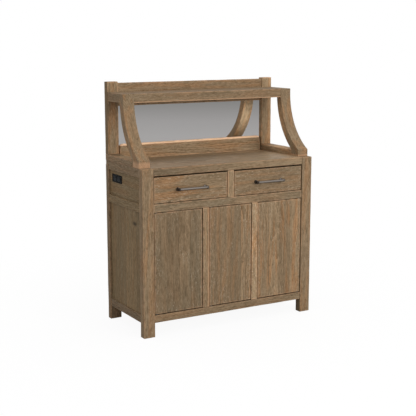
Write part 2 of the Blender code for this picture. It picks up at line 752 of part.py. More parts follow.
def bracket_foot_back():
    """Where the back arc of a bracket comes down to the gallery rail."""
    centre, radius = bracket_arc()
    drop = centre[1] - GALLERY_TOP
    return centre[0] + math.sqrt((radius + BRACKET_THICKNESS) ** 2 - drop * drop)


def bracket(name, side):
    """A curved bracket sawn from a plank, between two arcs about one centre."""
    centre, radius = bracket_arc()
    foot_front = FRONT + BRACKET_FOOT_SETBACK
    foot_back = bracket_foot_back()
    outer = radius + BRACKET_THICKNESS
    foot_angle = -math.acos((foot_front - centre[0]) / radius)
    back_angle = -math.acos((foot_back - centre[0]) / outer)
    base = BASE_TOP + FIT
    outline = [(foot_front, base)]
    outline += arc(centre, radius, foot_angle, 0)
    outline += [(SHELF_FRONT, SHELF_TOP), (SHELF_FRONT + BRACKET_THICKNESS, SHELF_TOP)]
    outline += arc(centre, outer, 0, back_angle)
    outline.append((foot_back, base))
    low, high = sorted(mirrored(side, POST_IN, HALF))
    bm = prism(bmesh.new(), X, low, high, outline)
    ease(bm, [edge for edge in bm.edges if abs(edge.verts[0].co.x - edge.verts[1].co.x) < FIT])
    made = smooth(place(f"bracket_{name}", bm, "oak"))
    carve(made, *tenons(shelf_side_rail_box(side), Y, (-1,)), *tenons(shelf_front_rail_box(), X, (side,)))


def shelf_side_rail_box(side):
    depth = (SHELF_FRONT + BRACKET_THICKNESS + FIT, REAR_POST_FRONT - FIT)
    return box(mirrored(side, SIDE_IN, SIDE_OUT), depth, (SHELF_RAIL_LOW, SHELF_TOP))


def shelf_front_rail_box():
    width = (-POST_IN + FIT, POST_IN - FIT)
    front = SHELF_FRONT + RAIL_SETBACK
    return box(width, (front, front + RAIL_THICKNESS), (SHELF_RAIL_LOW, SHELF_TOP))


def hutch_side(name, side):
    """One end of the hutch: gallery rail, rear post, curved bracket and shelf rail."""
    depth = (bracket_foot_back() + FIT, BACK)
    gallery = box(mirrored(side, POST_IN, HALF), depth, (BASE_TOP + FIT, GALLERY_TOP))
    rail(f"gallery_rail_{name}", "oak_shade", gallery, Y, ends=())
    made = rail(f"hutch_post_{name}", "oak", hutch_post_box(side), Z, ends=())
    carve(made, mirror_board_box(), mirror_box(), *tenons(back_rail_box(), X, (side,)))
    carve(made, *tenons(shelf_side_rail_box(side), Y, (1,)))
    bracket(name, side)
    made = rail(f"shelf_side_rail_{name}", "oak_shade", shelf_side_rail_box(side), Y)
    carve(made, shelf_board_box())


def hutch_middle():
    """The shelf between the ends of the hutch, the back rail, the backsplash and the mirror."""
    made = rail("shelf_front_rail", "oak", shelf_front_rail_box(), X)
    carve(made, shelf_board_box())
    made = board("hutch_shelf", "oak", shelf_board_box())
    brackets = [post_box(side, FRONT, SHELF_FRONT + BRACKET_THICKNESS, 0, SHELF_TOP) for side in (-1, 1)]
    carve(made, *brackets, hutch_post_box(-1), hutch_post_box(1))
    made = rail("hutch_back_rail", "oak", back_rail_box(), X)
    carve(made, shelf_board_box(), mirror_box())
    board("mirror", "mirror", mirror_box())
    board("mirror_back", "oak_shade", mirror_board_box())

    half = POST_IN - BACKSPLASH_INSET
    top = BASE_TOP + BACKSPLASH_HEIGHT
    turn = half - BACKSPLASH_ROUND
    outline = [(-half, BASE_TOP + FIT), (half, BASE_TOP + FIT)]
    outline += arc((turn, top - BACKSPLASH_ROUND), BACKSPLASH_ROUND, 0, math.pi / 2)
    outline += arc((-turn, top - BACKSPLASH_ROUND), BACKSPLASH_ROUND, math.pi / 2, math.pi)
    front = REAR_POST_FRONT + BACKSPLASH_RECESS
    bm = prism(bmesh.new(), Y, front, MIRROR_BACK, outline)
    rim = {v for v in bm.verts if v.co.y < front + WELD and v.co.z > BASE_TOP + 2 * FIT}
    nose = [edge for edge in bm.edges if rim.issuperset(edge.verts)]
    bmesh.ops.bevel(bm, geom=nose, offset=BACKSPLASH_NOSE, segments=NOSE_STEPS, profile=0.5, affect="EDGES")
    made = smooth(place("backsplash", bm, "oak"))
    carve(made, mirror_box())


def outlet_middle():
    """The middle of the power outlet on the outside of the left upper panel."""
    back = REAR_POST_FRONT - OUTLET_FROM_REAR_POST
    low = MID_RAIL_TOP + OUTLET_ABOVE_RAIL
    return Vector((-PANEL_OUT, back - OUTLET_LENGTH / 2, low + OUTLET_HEIGHT / 2))


def outlet_box():
    """The body of the outlet, which passes through the panel."""
    middle = outlet_middle()
    half_length = OUTLET_LENGTH / 2 - BEZEL_BORDER
    half_height = OUTLET_HEIGHT / 2 - BEZEL_BORDER
    face = middle.x - BEZEL_THICKNESS + MODULE_SINK
    length = (middle.y - half_length, middle.y + half_length)
    height = (middle.z - half_height, middle.z + half_height)
    return box((face, middle.x + MODULE_DEPTH), length, height)


def outlet():
    """The power outlet: a round-cornered bezel on the panel and the socket module through it."""
    middle = outlet_middle()
    across = OUTLET_LENGTH / 2 - OUTLET_ROUND
    up = OUTLET_HEIGHT / 2 - OUTLET_ROUND
    outline = []
    for quarter, (a, b) in enumerate(((1, 1), (-1, 1), (-1, -1), (1, -1))):
        start = quarter * math.pi / 2
        corner = (middle.y + a * across, middle.z + b * up)
        outline += arc(corner, OUTLET_ROUND, start, start + math.pi / 2)
    outer_face = middle.x - FIT
    bm = prism(bmesh.new(), X, outer_face - BEZEL_THICKNESS, outer_face, outline)
    made = place("outlet_bezel", bm, "black_plastic")
    carve(made, outlet_box())

    made = board("outlet_module", "black_plastic", outlet_box())
    face = outlet_box()[0].x
    slots = []
    for side in (-1, 1):
        centre = middle.y + side * SOCKET_SPACING / 2
        for hand in (-1, 1):
            slot = centre + hand * SLOT_SPREAD / 2
            width = (slot - SLOT_WIDTH / 2, slot + SLOT_WIDTH / 2)
            height = (middle.z, middle.z + SLOT_LENGTH)
            slots.append(box((face - SLOT_DEPTH, face + SLOT_DEPTH), width, height))
        earth = Vector((face - SLOT_DEPTH, centre, middle.z + SLOT_LENGTH / 2 - EARTH_DROP))
        bore(made, X, earth, 2 * SLOT_DEPTH, EARTH_DIAMETER)
    carve(made, *slots)


def build():
    for obj in list(bpy.data.objects):
        bpy.data.objects.remove(obj, do_unlink=True)
    for name, side in (("left", -1), ("right", 1)):
        base_side(name, side)
        drawer(name, side)
        hutch_side(name, side)
    base_front()
    base_boards()
    drawer_deck()
    latch_rail()
    doors()
    hutch_middle()
    outlet()


build()
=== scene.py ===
import math

import bmesh
import bpy
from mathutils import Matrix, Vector


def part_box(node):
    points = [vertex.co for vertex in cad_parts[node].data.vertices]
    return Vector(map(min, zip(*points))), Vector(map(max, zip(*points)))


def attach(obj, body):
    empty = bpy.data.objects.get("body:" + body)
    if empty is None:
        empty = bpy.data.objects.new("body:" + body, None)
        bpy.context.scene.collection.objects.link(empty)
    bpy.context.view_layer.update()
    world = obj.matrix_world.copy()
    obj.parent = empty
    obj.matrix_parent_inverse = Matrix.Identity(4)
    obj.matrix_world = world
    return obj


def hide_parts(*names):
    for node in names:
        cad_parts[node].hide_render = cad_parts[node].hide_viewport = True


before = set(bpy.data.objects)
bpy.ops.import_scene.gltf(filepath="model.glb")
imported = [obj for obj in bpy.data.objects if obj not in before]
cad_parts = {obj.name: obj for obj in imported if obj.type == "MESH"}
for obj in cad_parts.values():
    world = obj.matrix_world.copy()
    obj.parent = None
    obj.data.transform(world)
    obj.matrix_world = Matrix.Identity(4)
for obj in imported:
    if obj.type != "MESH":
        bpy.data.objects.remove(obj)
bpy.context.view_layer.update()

# Base posts
# Four squared oak posts carry the base and run down to the floor as its feet.
# They are plain sawn, wire brushed, toned grey-brown and rubbed bare along the edges.
OAK = {
    "pore": (0.062, 0.040, 0.021),
    "dark": (0.138, 0.093, 0.050),
    "middle": (0.230, 0.156, 0.089),
    "pale": (0.312, 0.221, 0.132),
    "limed": (0.430, 0.352, 0.256),
    "rubbed": (0.430, 0.258, 0.148),
    "bare": (0.840, 0.548, 0.345),
}
GREY_WASH = (0.86, 0.93, 0.98)
WARM_WASH = (1.20, 0.98, 0.82)
# Widths and reaches are in metres. A span is the part of a noise over which its mark comes in.
MOST_TILT = 0.03
PITH_STEPS, PITH_STEP = 17, 0.31
PITH_AWAY, PITH_TURNS = (0.045, 0.050), (1.7, 2.3)
PLANK_SHIFT, PLANK_TONES = (1.0, 0.09, 0.09), (0.88, 1.12)
SEAM_HALF, SEAM_SHARE = 0.0012, 0.55
WAVER_WIDTH, WAVER_REACH = 0.070, (0.0, 0.020, 0.020)
GRAIN_STRETCH, SHORT_STRETCH, PATCH_STRETCH = 0.075, 0.20, 0.30
RING_WIDTH = 0.0065
RING_WOBBLE = {"Distortion": 6.0, "Detail": 2.0, "Detail Scale": 0.45, "Detail Roughness": 0.5}
WAVE_AT_SCALE_1 = math.pi / 10
STREAK_WIDTH, STREAK_SHARE = 0.015, 0.30
MOTTLE_WIDTH, MOTTLE_SHARE = 0.007, 0.36
FIBRE_WIDTH, FIBRE_SHARE = 0.0035, 0.34
FIGURE = {"dark": 0.37, "middle": 0.50, "pale": 0.65}
PORE_WIDTH, PORE_SPAN = 0.0012, (0.30, 0.44)
PORE_SHARE, PORE_DEPTH = 0.45, 0.5
PATCH_WIDTH, PATCH_SPAN = 0.110, (0.42, 0.60)
GLOW_WIDTH, GLOW_SPAN = 0.024, (0.46, 0.64)
KNOT_RAGGED = 0.5
KNOT_HALO = (0.90, 2.00, 0.70, 0.0)
KNOT_HEART = (0.75, 1.20, 0.95, 0.0)
CLUSTER_WIDTH, CLUSTER_SPAN = 0.055, (0.54, 0.64)
FLECK_WIDTH, FLECK_SPAN = 0.0032, (0.57, 0.69)
LIMED_REACH = 0.060
PIT_WIDTH, PIT_SPAN, PIT_SHARE = 0.0048, (0.28, 0.36), 0.6
RUB_WIDTH, RUB_SPAN, RUB_REACH = 0.030, (0.38, 0.60), 0.008
BARE_AND_PAINTED_SHARE, BARE_AND_PAINTED_BLUR = 0.9, 0.4
BARE_AND_PAINTED_TONES = (0.72, 1.18)
ROUGH_SPAN, ROUGHNESS = (0.34, 0.70), (0.74, 0.56)
RELIEF = {"Strength": 0.40, "Distance": 0.0010}
GRAIN_TURN = {"X": (0.0, 0.0, 0.0), "Y": (0.0, 0.0, -math.pi / 2), "Z": (0.0, math.pi / 2, 0.0)}
AXES = "XYZ"


def shader_node(tree, kind, values, **settings):
    """Adds a node. Each value is a constant for an input, or the output that feeds it."""
    made = tree.nodes.new("ShaderNode" + kind)
    for setting, value in settings.items():
        setattr(made, setting, value)
    for key, value in values.items():
        if isinstance(value, bpy.types.NodeSocket):
            tree.links.new(value, made.inputs[key])
        else:
            made.inputs[key].default_value = value
    return made


def maths(tree, operation, first, second=0.0):
    return shader_node(tree, "Math", {0: first, 1: second}, operation=operation).outputs[0]


def vector_maths(tree, operation, *values):
    return shader_node(tree, "VectorMath", dict(enumerate(values)), operation=operation).outputs[0]


def scaled(tree, colour, factor):
    values = {0: colour, "Scale": factor}
    return shader_node(tree, "VectorMath", values, operation="SCALE").outputs[0]


def part_along(tree, place, axis):
    return shader_node(tree, "SeparateXYZ", {0: place}).outputs[AXES.index(axis)]


def object_place(tree):
    return shader_node(tree, "TexCoord", {}).outputs["Object"]


def spread(tree, value, low, high, to_low, to_high):
    """Maps a value from one range to another, held at both ends."""
    values = {"Value": value, "From Min": low, "From Max": high}
    values.update({"To Min": to_low, "To Max": to_high})
    return shader_node(tree, "MapRange", values).outputs[0]


def noise(tree, place, width, detail=2.0, roughness=0.5):
    values = {"Vector": place, "Scale": 1 / width, "Detail": detail, "Roughness": roughness}
    return shader_node(tree, "TexNoise", values).outputs["Fac"]


def drawn_out(tree, place, share):
    """Shortens a place along X, so that a pattern made in it is drawn out that way."""
    return shader_node(tree, "Mapping", {"Vector": place, "Scale": (share, 1, 1)}).outputs[0]


def mixed(tree, amount, first, second, blend="MIX"):
    values = {0: amount, 6: first, 7: second}
    return shader_node(tree, "Mix", values, data_type="RGBA", blend_type=blend).outputs[2]


def colours_along(tree, value, stops):
    """A colour ramp from a list of (position, colour) pairs."""
    made = shader_node(tree, "ValToRGB", {"Fac": value})
    ramp = made.color_ramp
    while len(ramp.elements) < len(stops):
        ramp.elements.new(1.0)
    for element, (position, colour) in zip(ramp.elements, stops):
        element.position = position
        element.color = (*colour, 1.0)
    return made.outputs["Color"]


def new_material(name):
    material = bpy.data.materials.new(name)
    material.use_nodes = True
    return material, material.node_tree, material.node_tree.nodes["Principled BSDF"]


def edge_distance(tree, centred, half):
    """How far a point on a board's skin lies from the nearest edge of its box."""
    depth = vector_maths(tree, "SUBTRACT", half, vector_maths(tree, "ABSOLUTE", centred))
    across, deep, tall = (part_along(tree, depth, axis) for axis in AXES)
    least = maths(tree, "MINIMUM", across, deep)
    most = maths(tree, "MAXIMUM", across, deep)
    return maths(tree, "MAXIMUM", least, maths(tree, "MINIMUM", most, tall))


def wood(
    name, corners, grain, light=1.0, grey=0.4, warm=0.4, lean=0.0, planks=None, wear=0.8,
    rings=0.10, limed=0.35, knots=(), bare=(), fade=(), tones=OAK, gloss=0.13, smooth=0.0
):
    """Plain sawn wood in a board's own frame: rings, fibres, pores, knots, washes and worn edges.

    planks is (axis, width) for a board glued up from planks. knots lists (middle, radii).
    One factor scales every tone: the board's own tone, and on some boards painted light and painted
    shade.
    A list of faces (axis, end, depth, tone) gives them another tone: stripped wood, and on some
    boards painted shade and painted light.
    fade lists (share of the length, factor) along the grain; on some boards it paints shade and
    light.
    """
    material, tree, shader = new_material(name)
    seed = sum(ord(letter) * (count + 1) for count, letter in enumerate(name))
    low, high = corners
    half = (high - low) / 2
    shades = {key: tuple(light * part for part in colour) for key, colour in tones.items()}
    pore_tone = (*shades["pore"], 1)
    place = object_place(tree)
    centred = vector_maths(tree, "SUBTRACT", place, (low + high) / 2)

    # The place in the log: X runs along the grain, a little off straight, with the pith near by.
    tilt = Vector((lean, math.sin(seed) * MOST_TILT, math.cos(seed) * MOST_TILT))
    pith = Vector((
        seed % PITH_STEPS * PITH_STEP,
        PITH_AWAY[0] * math.cos(seed * PITH_TURNS[0]),
        PITH_AWAY[1] * math.sin(seed * PITH_TURNS[1]),
    ))
    in_log = {"Vector": centred, "Rotation": Vector(GRAIN_TURN[grain]) + tilt, "Location": pith}
    sawn = shader_node(tree, "Mapping", in_log).outputs[0]
    if planks:
        axis, width = planks
        across = part_along(tree, centred, axis)
        plank = maths(tree, "ADD", maths(tree, "FLOOR", maths(tree, "DIVIDE", across, width)), seed)
        drawn = shader_node(tree, "TexWhiteNoise", {"W": plank}, noise_dimensions="1D").outputs
        sawn = vector_maths(tree, "MULTIPLY_ADD", drawn["Color"], PLANK_SHIFT, sawn)
    straight = drawn_out(tree, sawn, PATCH_STRETCH)
    bend = {"Vector": straight, "Scale": 1 / WAVER_WIDTH, "Detail": 1.0}
    waver = shader_node(tree, "TexNoise", bend).outputs["Color"]
    sawn = vector_maths(tree, "MULTIPLY_ADD", waver, WAVER_REACH, sawn)
    long = drawn_out(tree, sawn, GRAIN_STRETCH)
    short = drawn_out(tree, sawn, SHORT_STRETCH)
    broad = drawn_out(tree, sawn, PATCH_STRETCH)

    # The figure: growth rings, streaks, mottle and fibres added up, with open pores.
    ring_values = {"Vector": long, "Scale": WAVE_AT_SCALE_1 / RING_WIDTH, **RING_WOBBLE}
    growth = shader_node(
        tree, "TexWave", ring_values, wave_type="RINGS", rings_direction="X", wave_profile="SAW"
    ).outputs["Fac"]
    fibre = noise(tree, long, FIBRE_WIDTH)
    streak = noise(tree, long, STREAK_WIDTH, detail=3.0, roughness=0.6)
    mottle = noise(tree, broad, MOTTLE_WIDTH, detail=3.0, roughness=0.6)
    pores = spread(tree, noise(tree, long, PORE_WIDTH, detail=1.0), *PORE_SPAN, 1.0, 0.0)
    figure = maths(tree, "MULTIPLY", growth, rings)
    for part, share in ((streak, STREAK_SHARE), (mottle, MOTTLE_SHARE), (fibre, FIBRE_SHARE)):
        figure = maths(tree, "ADD", figure, maths(tree, "MULTIPLY", part, share * (1.0 - rings)))

    # The tone: the figure's colours, washed grey and warm in patches, with knots.
    stops = [(position, shades[tone]) for tone, position in FIGURE.items()]
    colour = colours_along(tree, figure, stops)
    patch = spread(tree, noise(tree, broad, PATCH_WIDTH), *PATCH_SPAN, 0.0, grey)
    colour = mixed(tree, patch, colour, (*GREY_WASH, 1), "MULTIPLY")
    glow = spread(tree, noise(tree, long, GLOW_WIDTH, detail=1.0), *GLOW_SPAN, 0.0, warm)
    colour = mixed(tree, glow, colour, (*WARM_WASH, 1), "MULTIPLY")
    if fade:
        limit = half[AXES.index(grain)]
        share = spread(tree, part_along(tree, centred, grain), -limit, limit, 0.0, 1.0)
        factor = colours_along(tree, share, [(position, (value,) * 3) for position, value in fade])
        colour = vector_maths(tree, "MULTIPLY", colour, factor)
    if planks:
        colour = scaled(tree, colour, spread(tree, drawn["Value"], 0.0, 1.0, *PLANK_TONES))
        seam = maths(tree, "PINGPONG", across, width / 2)
        seam = maths(tree, "MINIMUM", seam, maths(tree, "SUBTRACT", width / 2, seam))
        seam = spread(tree, seam, 0.0, SEAM_HALF, SEAM_SHARE, 0.0)
        colour = mixed(tree, seam, colour, pore_tone)
    colour = mixed(tree, maths(tree, "MULTIPLY", pores, PORE_SHARE), colour, pore_tone)
    for spot, radii in knots:
        away = vector_maths(tree, "DIVIDE", vector_maths(tree, "SUBTRACT", place, spot), radii)
        away = shader_node(tree, "VectorMath", {0: away}, operation="LENGTH").outputs["Value"]
        ragged = maths(tree, "ADD", away, maths(tree, "MULTIPLY", mottle, KNOT_RAGGED))
        colour = mixed(tree, spread(tree, ragged, *KNOT_HALO), colour, (*shades["dark"], 1))
        colour = mixed(tree, spread(tree, ragged, *KNOT_HEART), colour, pore_tone)

    # The finish: limed flecks near edges and in clusters, dark pits, rubbed edges, stripped faces,
    # and painted shade and painted light on the faces a board lists.
    edge = edge_distance(tree, centred, half)
    near = spread(tree, edge, 0.0, LIMED_REACH, limed, 0.0)
    cluster = spread(tree, noise(tree, broad, CLUSTER_WIDTH), *CLUSTER_SPAN, 0.0, limed)
    fleck = spread(tree, noise(tree, short, FLECK_WIDTH), *FLECK_SPAN, 0.0, 1.0)
    fleck = maths(tree, "MULTIPLY", fleck, maths(tree, "MAXIMUM", near, cluster))
    colour = mixed(tree, fleck, colour, (*shades["limed"], 1))
    pit = spread(tree, noise(tree, short, PIT_WIDTH), *PIT_SPAN, PIT_SHARE, 0.0)
    colour = mixed(tree, pit, colour, pore_tone)
    patchy = spread(tree, noise(tree, place, RUB_WIDTH, detail=3.0), *RUB_SPAN, 0.0, 1.0)
    rub = maths(tree, "MULTIPLY", spread(tree, edge, 0.0, RUB_REACH, wear, 0.0), patchy)
    colour = mixed(tree, rub, colour, (*shades["rubbed"], 1))
    # Faces given another tone: stripped wood, and on some boards painted shade and painted light.
    for axis, end, depth, tone in bare:
        start = half[AXES.index(axis)] - depth
        reach = maths(tree, "MULTIPLY", part_along(tree, centred, axis), end)
        bare_and_painted_mask = spread(tree, reach, start, start + depth * BARE_AND_PAINTED_BLUR, 0.0, BARE_AND_PAINTED_SHARE)
        grained = spread(tree, figure, FIGURE["dark"], FIGURE["pale"], *BARE_AND_PAINTED_TONES)
        colour = mixed(tree, bare_and_painted_mask, colour, scaled(tree, shades[tone], grained))
    tree.links.new(colour, shader.inputs["Base Color"])

    rough = spread(tree, figure, *ROUGH_SPAN, *(share - smooth for share in ROUGHNESS))
    tree.links.new(rough, shader.inputs["Roughness"])
    shader.inputs["Specular IOR Level"].default_value = gloss
    relief = maths(tree, "SUBTRACT", figure, maths(tree, "MULTIPLY", pores, PORE_DEPTH))
    bump = shader_node(tree, "Bump", {"Height": relief, **RELIEF})
    tree.links.new(bump.outputs[0], shader.inputs["Normal"])
    return material


def pick(parts, test):
    """Selects the faces or edges of the piece in hand that pass a test, and no others."""
    bpy.ops.mesh.select_all(action="DESELECT")
    bpy.ops.mesh.select_mode(type="FACE" if parts == "faces" else "EDGE")
    mesh = bpy.context.object.data
    shape = bmesh.from_edit_mesh(mesh)
    for part in getattr(shape, parts):
        part.select_set(test(part))
    bmesh.update_edit_mesh(mesh)


def block(name, low, high):
    """A squared block between two corners, left in edit mode."""
    bpy.ops.object.select_all(action="DESELECT")
    bpy.ops.mesh.primitive_cube_add(size=1, location=(low + high) / 2, scale=high - low)
    bpy.ops.object.transform_apply(location=True, rotation=True, scale=True)
    piece = bpy.context.object
    piece.name = name
    bpy.ops.object.mode_set(mode="EDIT")
    return piece


def smoothed(piece, angle=35):
    bpy.ops.object.mode_set(mode="OBJECT")
    bpy.ops.object.shade_smooth_by_angle(angle=math.radians(angle))
    return piece


WORN_STEP = 0.035
WORN_DEPTH = 0.0016
WORN_PATCH = 0.055
EDGE_ROUND = 0.0022
TENON_SHOULDER = 0.007
SQUARE_ON = 0.9
SHARP_ANGLE = 1.0
HAIR = 1e-5
worn_texture = bpy.data.textures.new("hand_worn", "CLOUDS")
worn_texture.noise_scale = WORN_PATCH


def worn_bar(name, low, high, along, edge_round=EDGE_ROUND, tenon=0.0):
    """A squared bar with a tenon on each end, its edges rounded by hand and a little uneven."""
    axis = AXES.index(along)
    way = Vector([float(axis == place) for place in range(3)])
    piece = block(name, low + way * tenon, high - way * tenon)
    for end in (-1, 1) if tenon else ():
        pick("faces", lambda face: face.normal[axis] * end > SQUARE_ON)
        bpy.ops.mesh.inset(thickness=TENON_SHOULDER)
        bpy.ops.mesh.extrude_region_move(TRANSFORM_OT_translate={"value": way * end * tenon})

    def outside(vert):
        across = [place for place in range(3) if place != axis]
        return all(min(abs(vert.co[n] - low[n]), abs(vert.co[n] - high[n])) < HAIR for n in across)

    def long_edge(edge):
        run = (edge.verts[1].co - edge.verts[0].co).normalized()
        return abs(run[axis]) > SQUARE_ON and all(map(outside, edge.verts))

    pick("edges", long_edge)
    bpy.ops.mesh.subdivide(number_cuts=round((high - low)[axis] / WORN_STEP))
    pick("edges", long_edge if tenon else lambda edge: edge.calc_face_angle(0.0) > SHARP_ANGLE)
    bpy.ops.mesh.bevel(offset=edge_round, segments=3, affect="EDGES")
    bpy.ops.object.mode_set(mode="OBJECT")
    wear = piece.modifiers.new("hand_worn", "DISPLACE")
    wear.texture = worn_texture
    wear.strength = WORN_DEPTH
    bpy.ops.object.modifier_apply(modifier="hand_worn")
    return smoothed(piece)


def fitted(piece, material, slot, body, *nodes):
    """Gives a finished piece its material and hangs it on a body in place of nodes; slot is not
    used.
    """
    piece.data.materials.clear()
    piece.data.materials.append(material)
    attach(piece, body)
    if nodes:
        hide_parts(*nodes)
    return piece


def worn_board(node, grain, tenon=0.0, **look):
    low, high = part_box(node)
    piece = worn_bar(f"{node}_bar", low, high, grain, tenon=tenon)
    way = Vector([tenon * (axis == grain) for axis in AXES])
    fitted(piece, wood(node, (low + way, high - way), grain, **look), "oak", "case", node)


# Painted shade: each front post is dark on its inner face and along the front beside it, as the
# shadow line at the drawers and doors.
INNER_FACE_PAINTED_SHADE = {"left": [("X", 1, 0.0030, "dark")], "right": [("X", -1, 0.0030, "dark")]}
for side in ("left", "right"):
    worn_board(
        f"front_post_{side}", "Z", light=1.10, warm=0.7, grey=0.2, wear=0.5, bare=INNER_FACE_PAINTED_SHADE[side]
    )
    worn_board(f"rear_post_{side}", "Z", light=0.82)

# Ends of the base
# On each end three oak rails are tenoned into the posts, with two panels held in grooves.
# The lower panel is glued up from upright boards; the upper one is a single board laid flat.
TENON = 0.015
SIDE_PLANK = 0.128
SIDE_KNOTS = {
    "left": [((-0.5229, -0.098, 0.600), (0.020, 0.028, 0.0115))],
    "right": [((0.5229, 0.070, 0.330), (0.010, 0.007, 0.0050))],
}
YELLOWED_OAK = {key: (red, green, blue * 0.90) for key, (red, green, blue) in OAK.items()}


def dress(node, material):
    """Puts a material on a piece of the frame that keeps its own shape."""
    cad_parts[node].material_slots[0].material = material


def board(node, grain, **look):
    dress(node, wood(node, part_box(node), grain, **look))


for side in ("left", "right"):
    board(f"side_top_rail_{side}", "Y", light=0.95, wear=0.4)
    worn_board(f"side_mid_rail_{side}", "Y", TENON, light=0.90, wear=0.15, tones=YELLOWED_OAK)
    worn_board(f"side_bottom_rail_{side}", "Y", TENON, light=0.72, wear=0.4)
    board(f"side_upper_panel_{side}", "Y", light=0.90, tones=YELLOWED_OAK)
    board(
        f"side_lower_panel_{side}", "Z", light=0.95, planks=("Y", SIDE_PLANK),
        knots=SIDE_KNOTS[side], tones=YELLOWED_OAK
    )

# Front frame
# Three oak rails run between the front posts, with two muntins and a divider tenoned into them.
# The middle rail took the grey tone most, and the muntins are rubbed warm along their edges.
# Painted shade: the left face of each muntin and the edge of its front beside it are dark, as that
# face in shadow.
MUNTIN_SIDE_PAINTED_SHADE = ("X", -1, 0.0020, "pore")
# Painted shade, with dark glaze: the foot of the top rail and the top of the bottom rail are dark,
# in the gaps above the drawers and under the doors.
board(
    "front_top_rail", "X", grey=0.7, fade=[(0, 0.74), (1, 1.34)], bare=[("Z", -1, 0.0030, "pore")]
)
worn_board("front_mid_rail", "X", TENON, light=1.08, grey=1.0, warm=0.3)
worn_board("front_bottom_rail", "X", TENON, bare=[("Z", 1, 0.0022, "pore")])
worn_board(
    "muntin_left", "Z", TENON, light=1.22, warm=1.0, grey=0.2,
    bare=[("X", 1, 0.0045, "rubbed"), MUNTIN_SIDE_PAINTED_SHADE]
)
worn_board("muntin_right", "Z", TENON, light=1.46, warm=1.0, grey=0.0, limed=0.9, bare=[MUNTIN_SIDE_PAINTED_SHADE])
worn_board("drawer_divider", "Z", TENON, light=1.34)

# Boards of the base
# The top is glued up from long boards and sits in rebates. The bottom, shelf and back close the
# case. The wood inside is a paler hardwood with a clear finish. Screws hold the back board.
INNER_WOOD = {
    "pore": (0.220, 0.150, 0.085),
    "dark": (0.330, 0.232, 0.138),
    "middle": (0.430, 0.312, 0.192),
    "pale": (0.520, 0.395, 0.258),
    "limed": (0.560, 0.450, 0.320),
    "rubbed": (0.520, 0.390, 0.250),
    "bare": (0.520, 0.390, 0.250),
}
TOP_PLANK = 0.110
FACING_BACK = (-math.pi / 2, 0, 0)
BACK_SCREW_STEP = 0.155
BACK_SCREW_ROWS = (0.0985, 0.700)
BACK_SCREW_SIDE = 0.4739
BACK_SCREW_LOWEST = 0.20
BACK_SCREWS = [(x * BACK_SCREW_STEP, z) for x in range(-3, 4) for z in BACK_SCREW_ROWS]
BACK_SCREWS += [
    (x * BACK_SCREW_SIDE, BACK_SCREW_LOWEST + z * BACK_SCREW_STEP)
    for x in (-1, 1) for z in range(4)
]
BACK_SCREW_RADIUS = 0.0038
BACK_SCREW_HEIGHT = 0.0008
SCREW_HEAD = [(0, 1), (0.4, 1), (0.75, 0.88), (1, 0.5)]
ROUND_SIDES = 32
SCREW_SIDES = 20
SLOT_SHARES = (1.3, 0.14, 0.5)
SLOT_TURN = 0.9
STEEL_GREY, STEEL_ROUGHNESS = (0.17, 0.165, 0.16), 0.42
METALLIC = 0.9
BRUSH_WIDTH, BRUSH_STRETCH = 0.0006, 0.05
BRUSH_RELIEF = {"Strength": 0.15, "Distance": 0.0002}
BRUSH_SMOOTHS, BRUSH_DULLS = 0.06, 0.1
BRIGHT_WIDTH, BRIGHT_SPAN, BRIGHT_GAIN = 0.018, (0.45, 0.75, 0.0, 0.7), 1.6
HIGHLIGHT_FACING, HIGHLIGHT_SPAN, HIGHLIGHT_BLUR = (0, -0.94, 0.34), (0.55, 0.95, 0.0, 1.0), 0.004
NOISE_SPAN = (0.3, 0.7)


def joined(pieces, name):
    bpy.ops.object.select_all(action="DESELECT")
    for piece in pieces:
        piece.select_set(True)
    bpy.context.view_layer.objects.active = pieces[0]
    bpy.ops.object.join()
    pieces[0].name = name
    return pieces[0]


def copied(piece, name, shift, tilt=(0, 0, 0)):
    """A copy of a piece with its own mesh, tilted and moved."""
    bpy.ops.object.select_all(action="DESELECT")
    piece.select_set(True)
    bpy.context.view_layer.objects.active = piece
    bpy.ops.object.duplicate()
    copy = bpy.context.object
    copy.name = name
    copy.rotation_euler = tilt
    copy.location = shift
    bpy.ops.object.transform_apply(location=True, rotation=True, scale=True)
    return copy


def put_away(*patterns):
    for pattern in patterns:
        bpy.data.objects.remove(pattern)


def turned(name, foot, tilt, profile, sides=ROUND_SIDES):
    """A turned solid: a disc drawn out along its axis to each (height, radius) of a profile."""
    bpy.ops.object.select_all(action="DESELECT")
    height, radius = profile[0]
    bpy.ops.mesh.primitive_circle_add(vertices=sides, radius=radius, fill_type="NGON")
    piece = bpy.context.object
    piece.name = name
    bpy.ops.object.mode_set(mode="EDIT")
    for next_height, next_radius in profile[1:]:
        rise = (0, 0, next_height - height)
        bpy.ops.mesh.extrude_region_move(TRANSFORM_OT_translate={"value": rise})
        grow = next_radius / radius
        bpy.ops.transform.resize(value=(grow, grow, 1), center_override=(0, 0, next_height))
        height, radius = next_height, next_radius
    bpy.ops.mesh.select_all(action="SELECT")
    bpy.ops.mesh.normals_make_consistent(inside=False)
    smoothed(piece, angle=40)
    piece.rotation_euler = tilt
    piece.location = foot
    bpy.ops.object.transform_apply(location=True, rotation=True, scale=True)
    return piece


def cut(piece, cutter):
    """Takes the shape of a cutter out of a piece."""
    bpy.ops.object.select_all(action="DESELECT")
    piece.select_set(True)
    bpy.context.view_layer.objects.active = piece
    taken = piece.modifiers.new("cut", "BOOLEAN")
    taken.object = cutter
    taken.solver = "EXACT"
    bpy.ops.object.modifier_apply(modifier="cut")
    put_away(cutter)


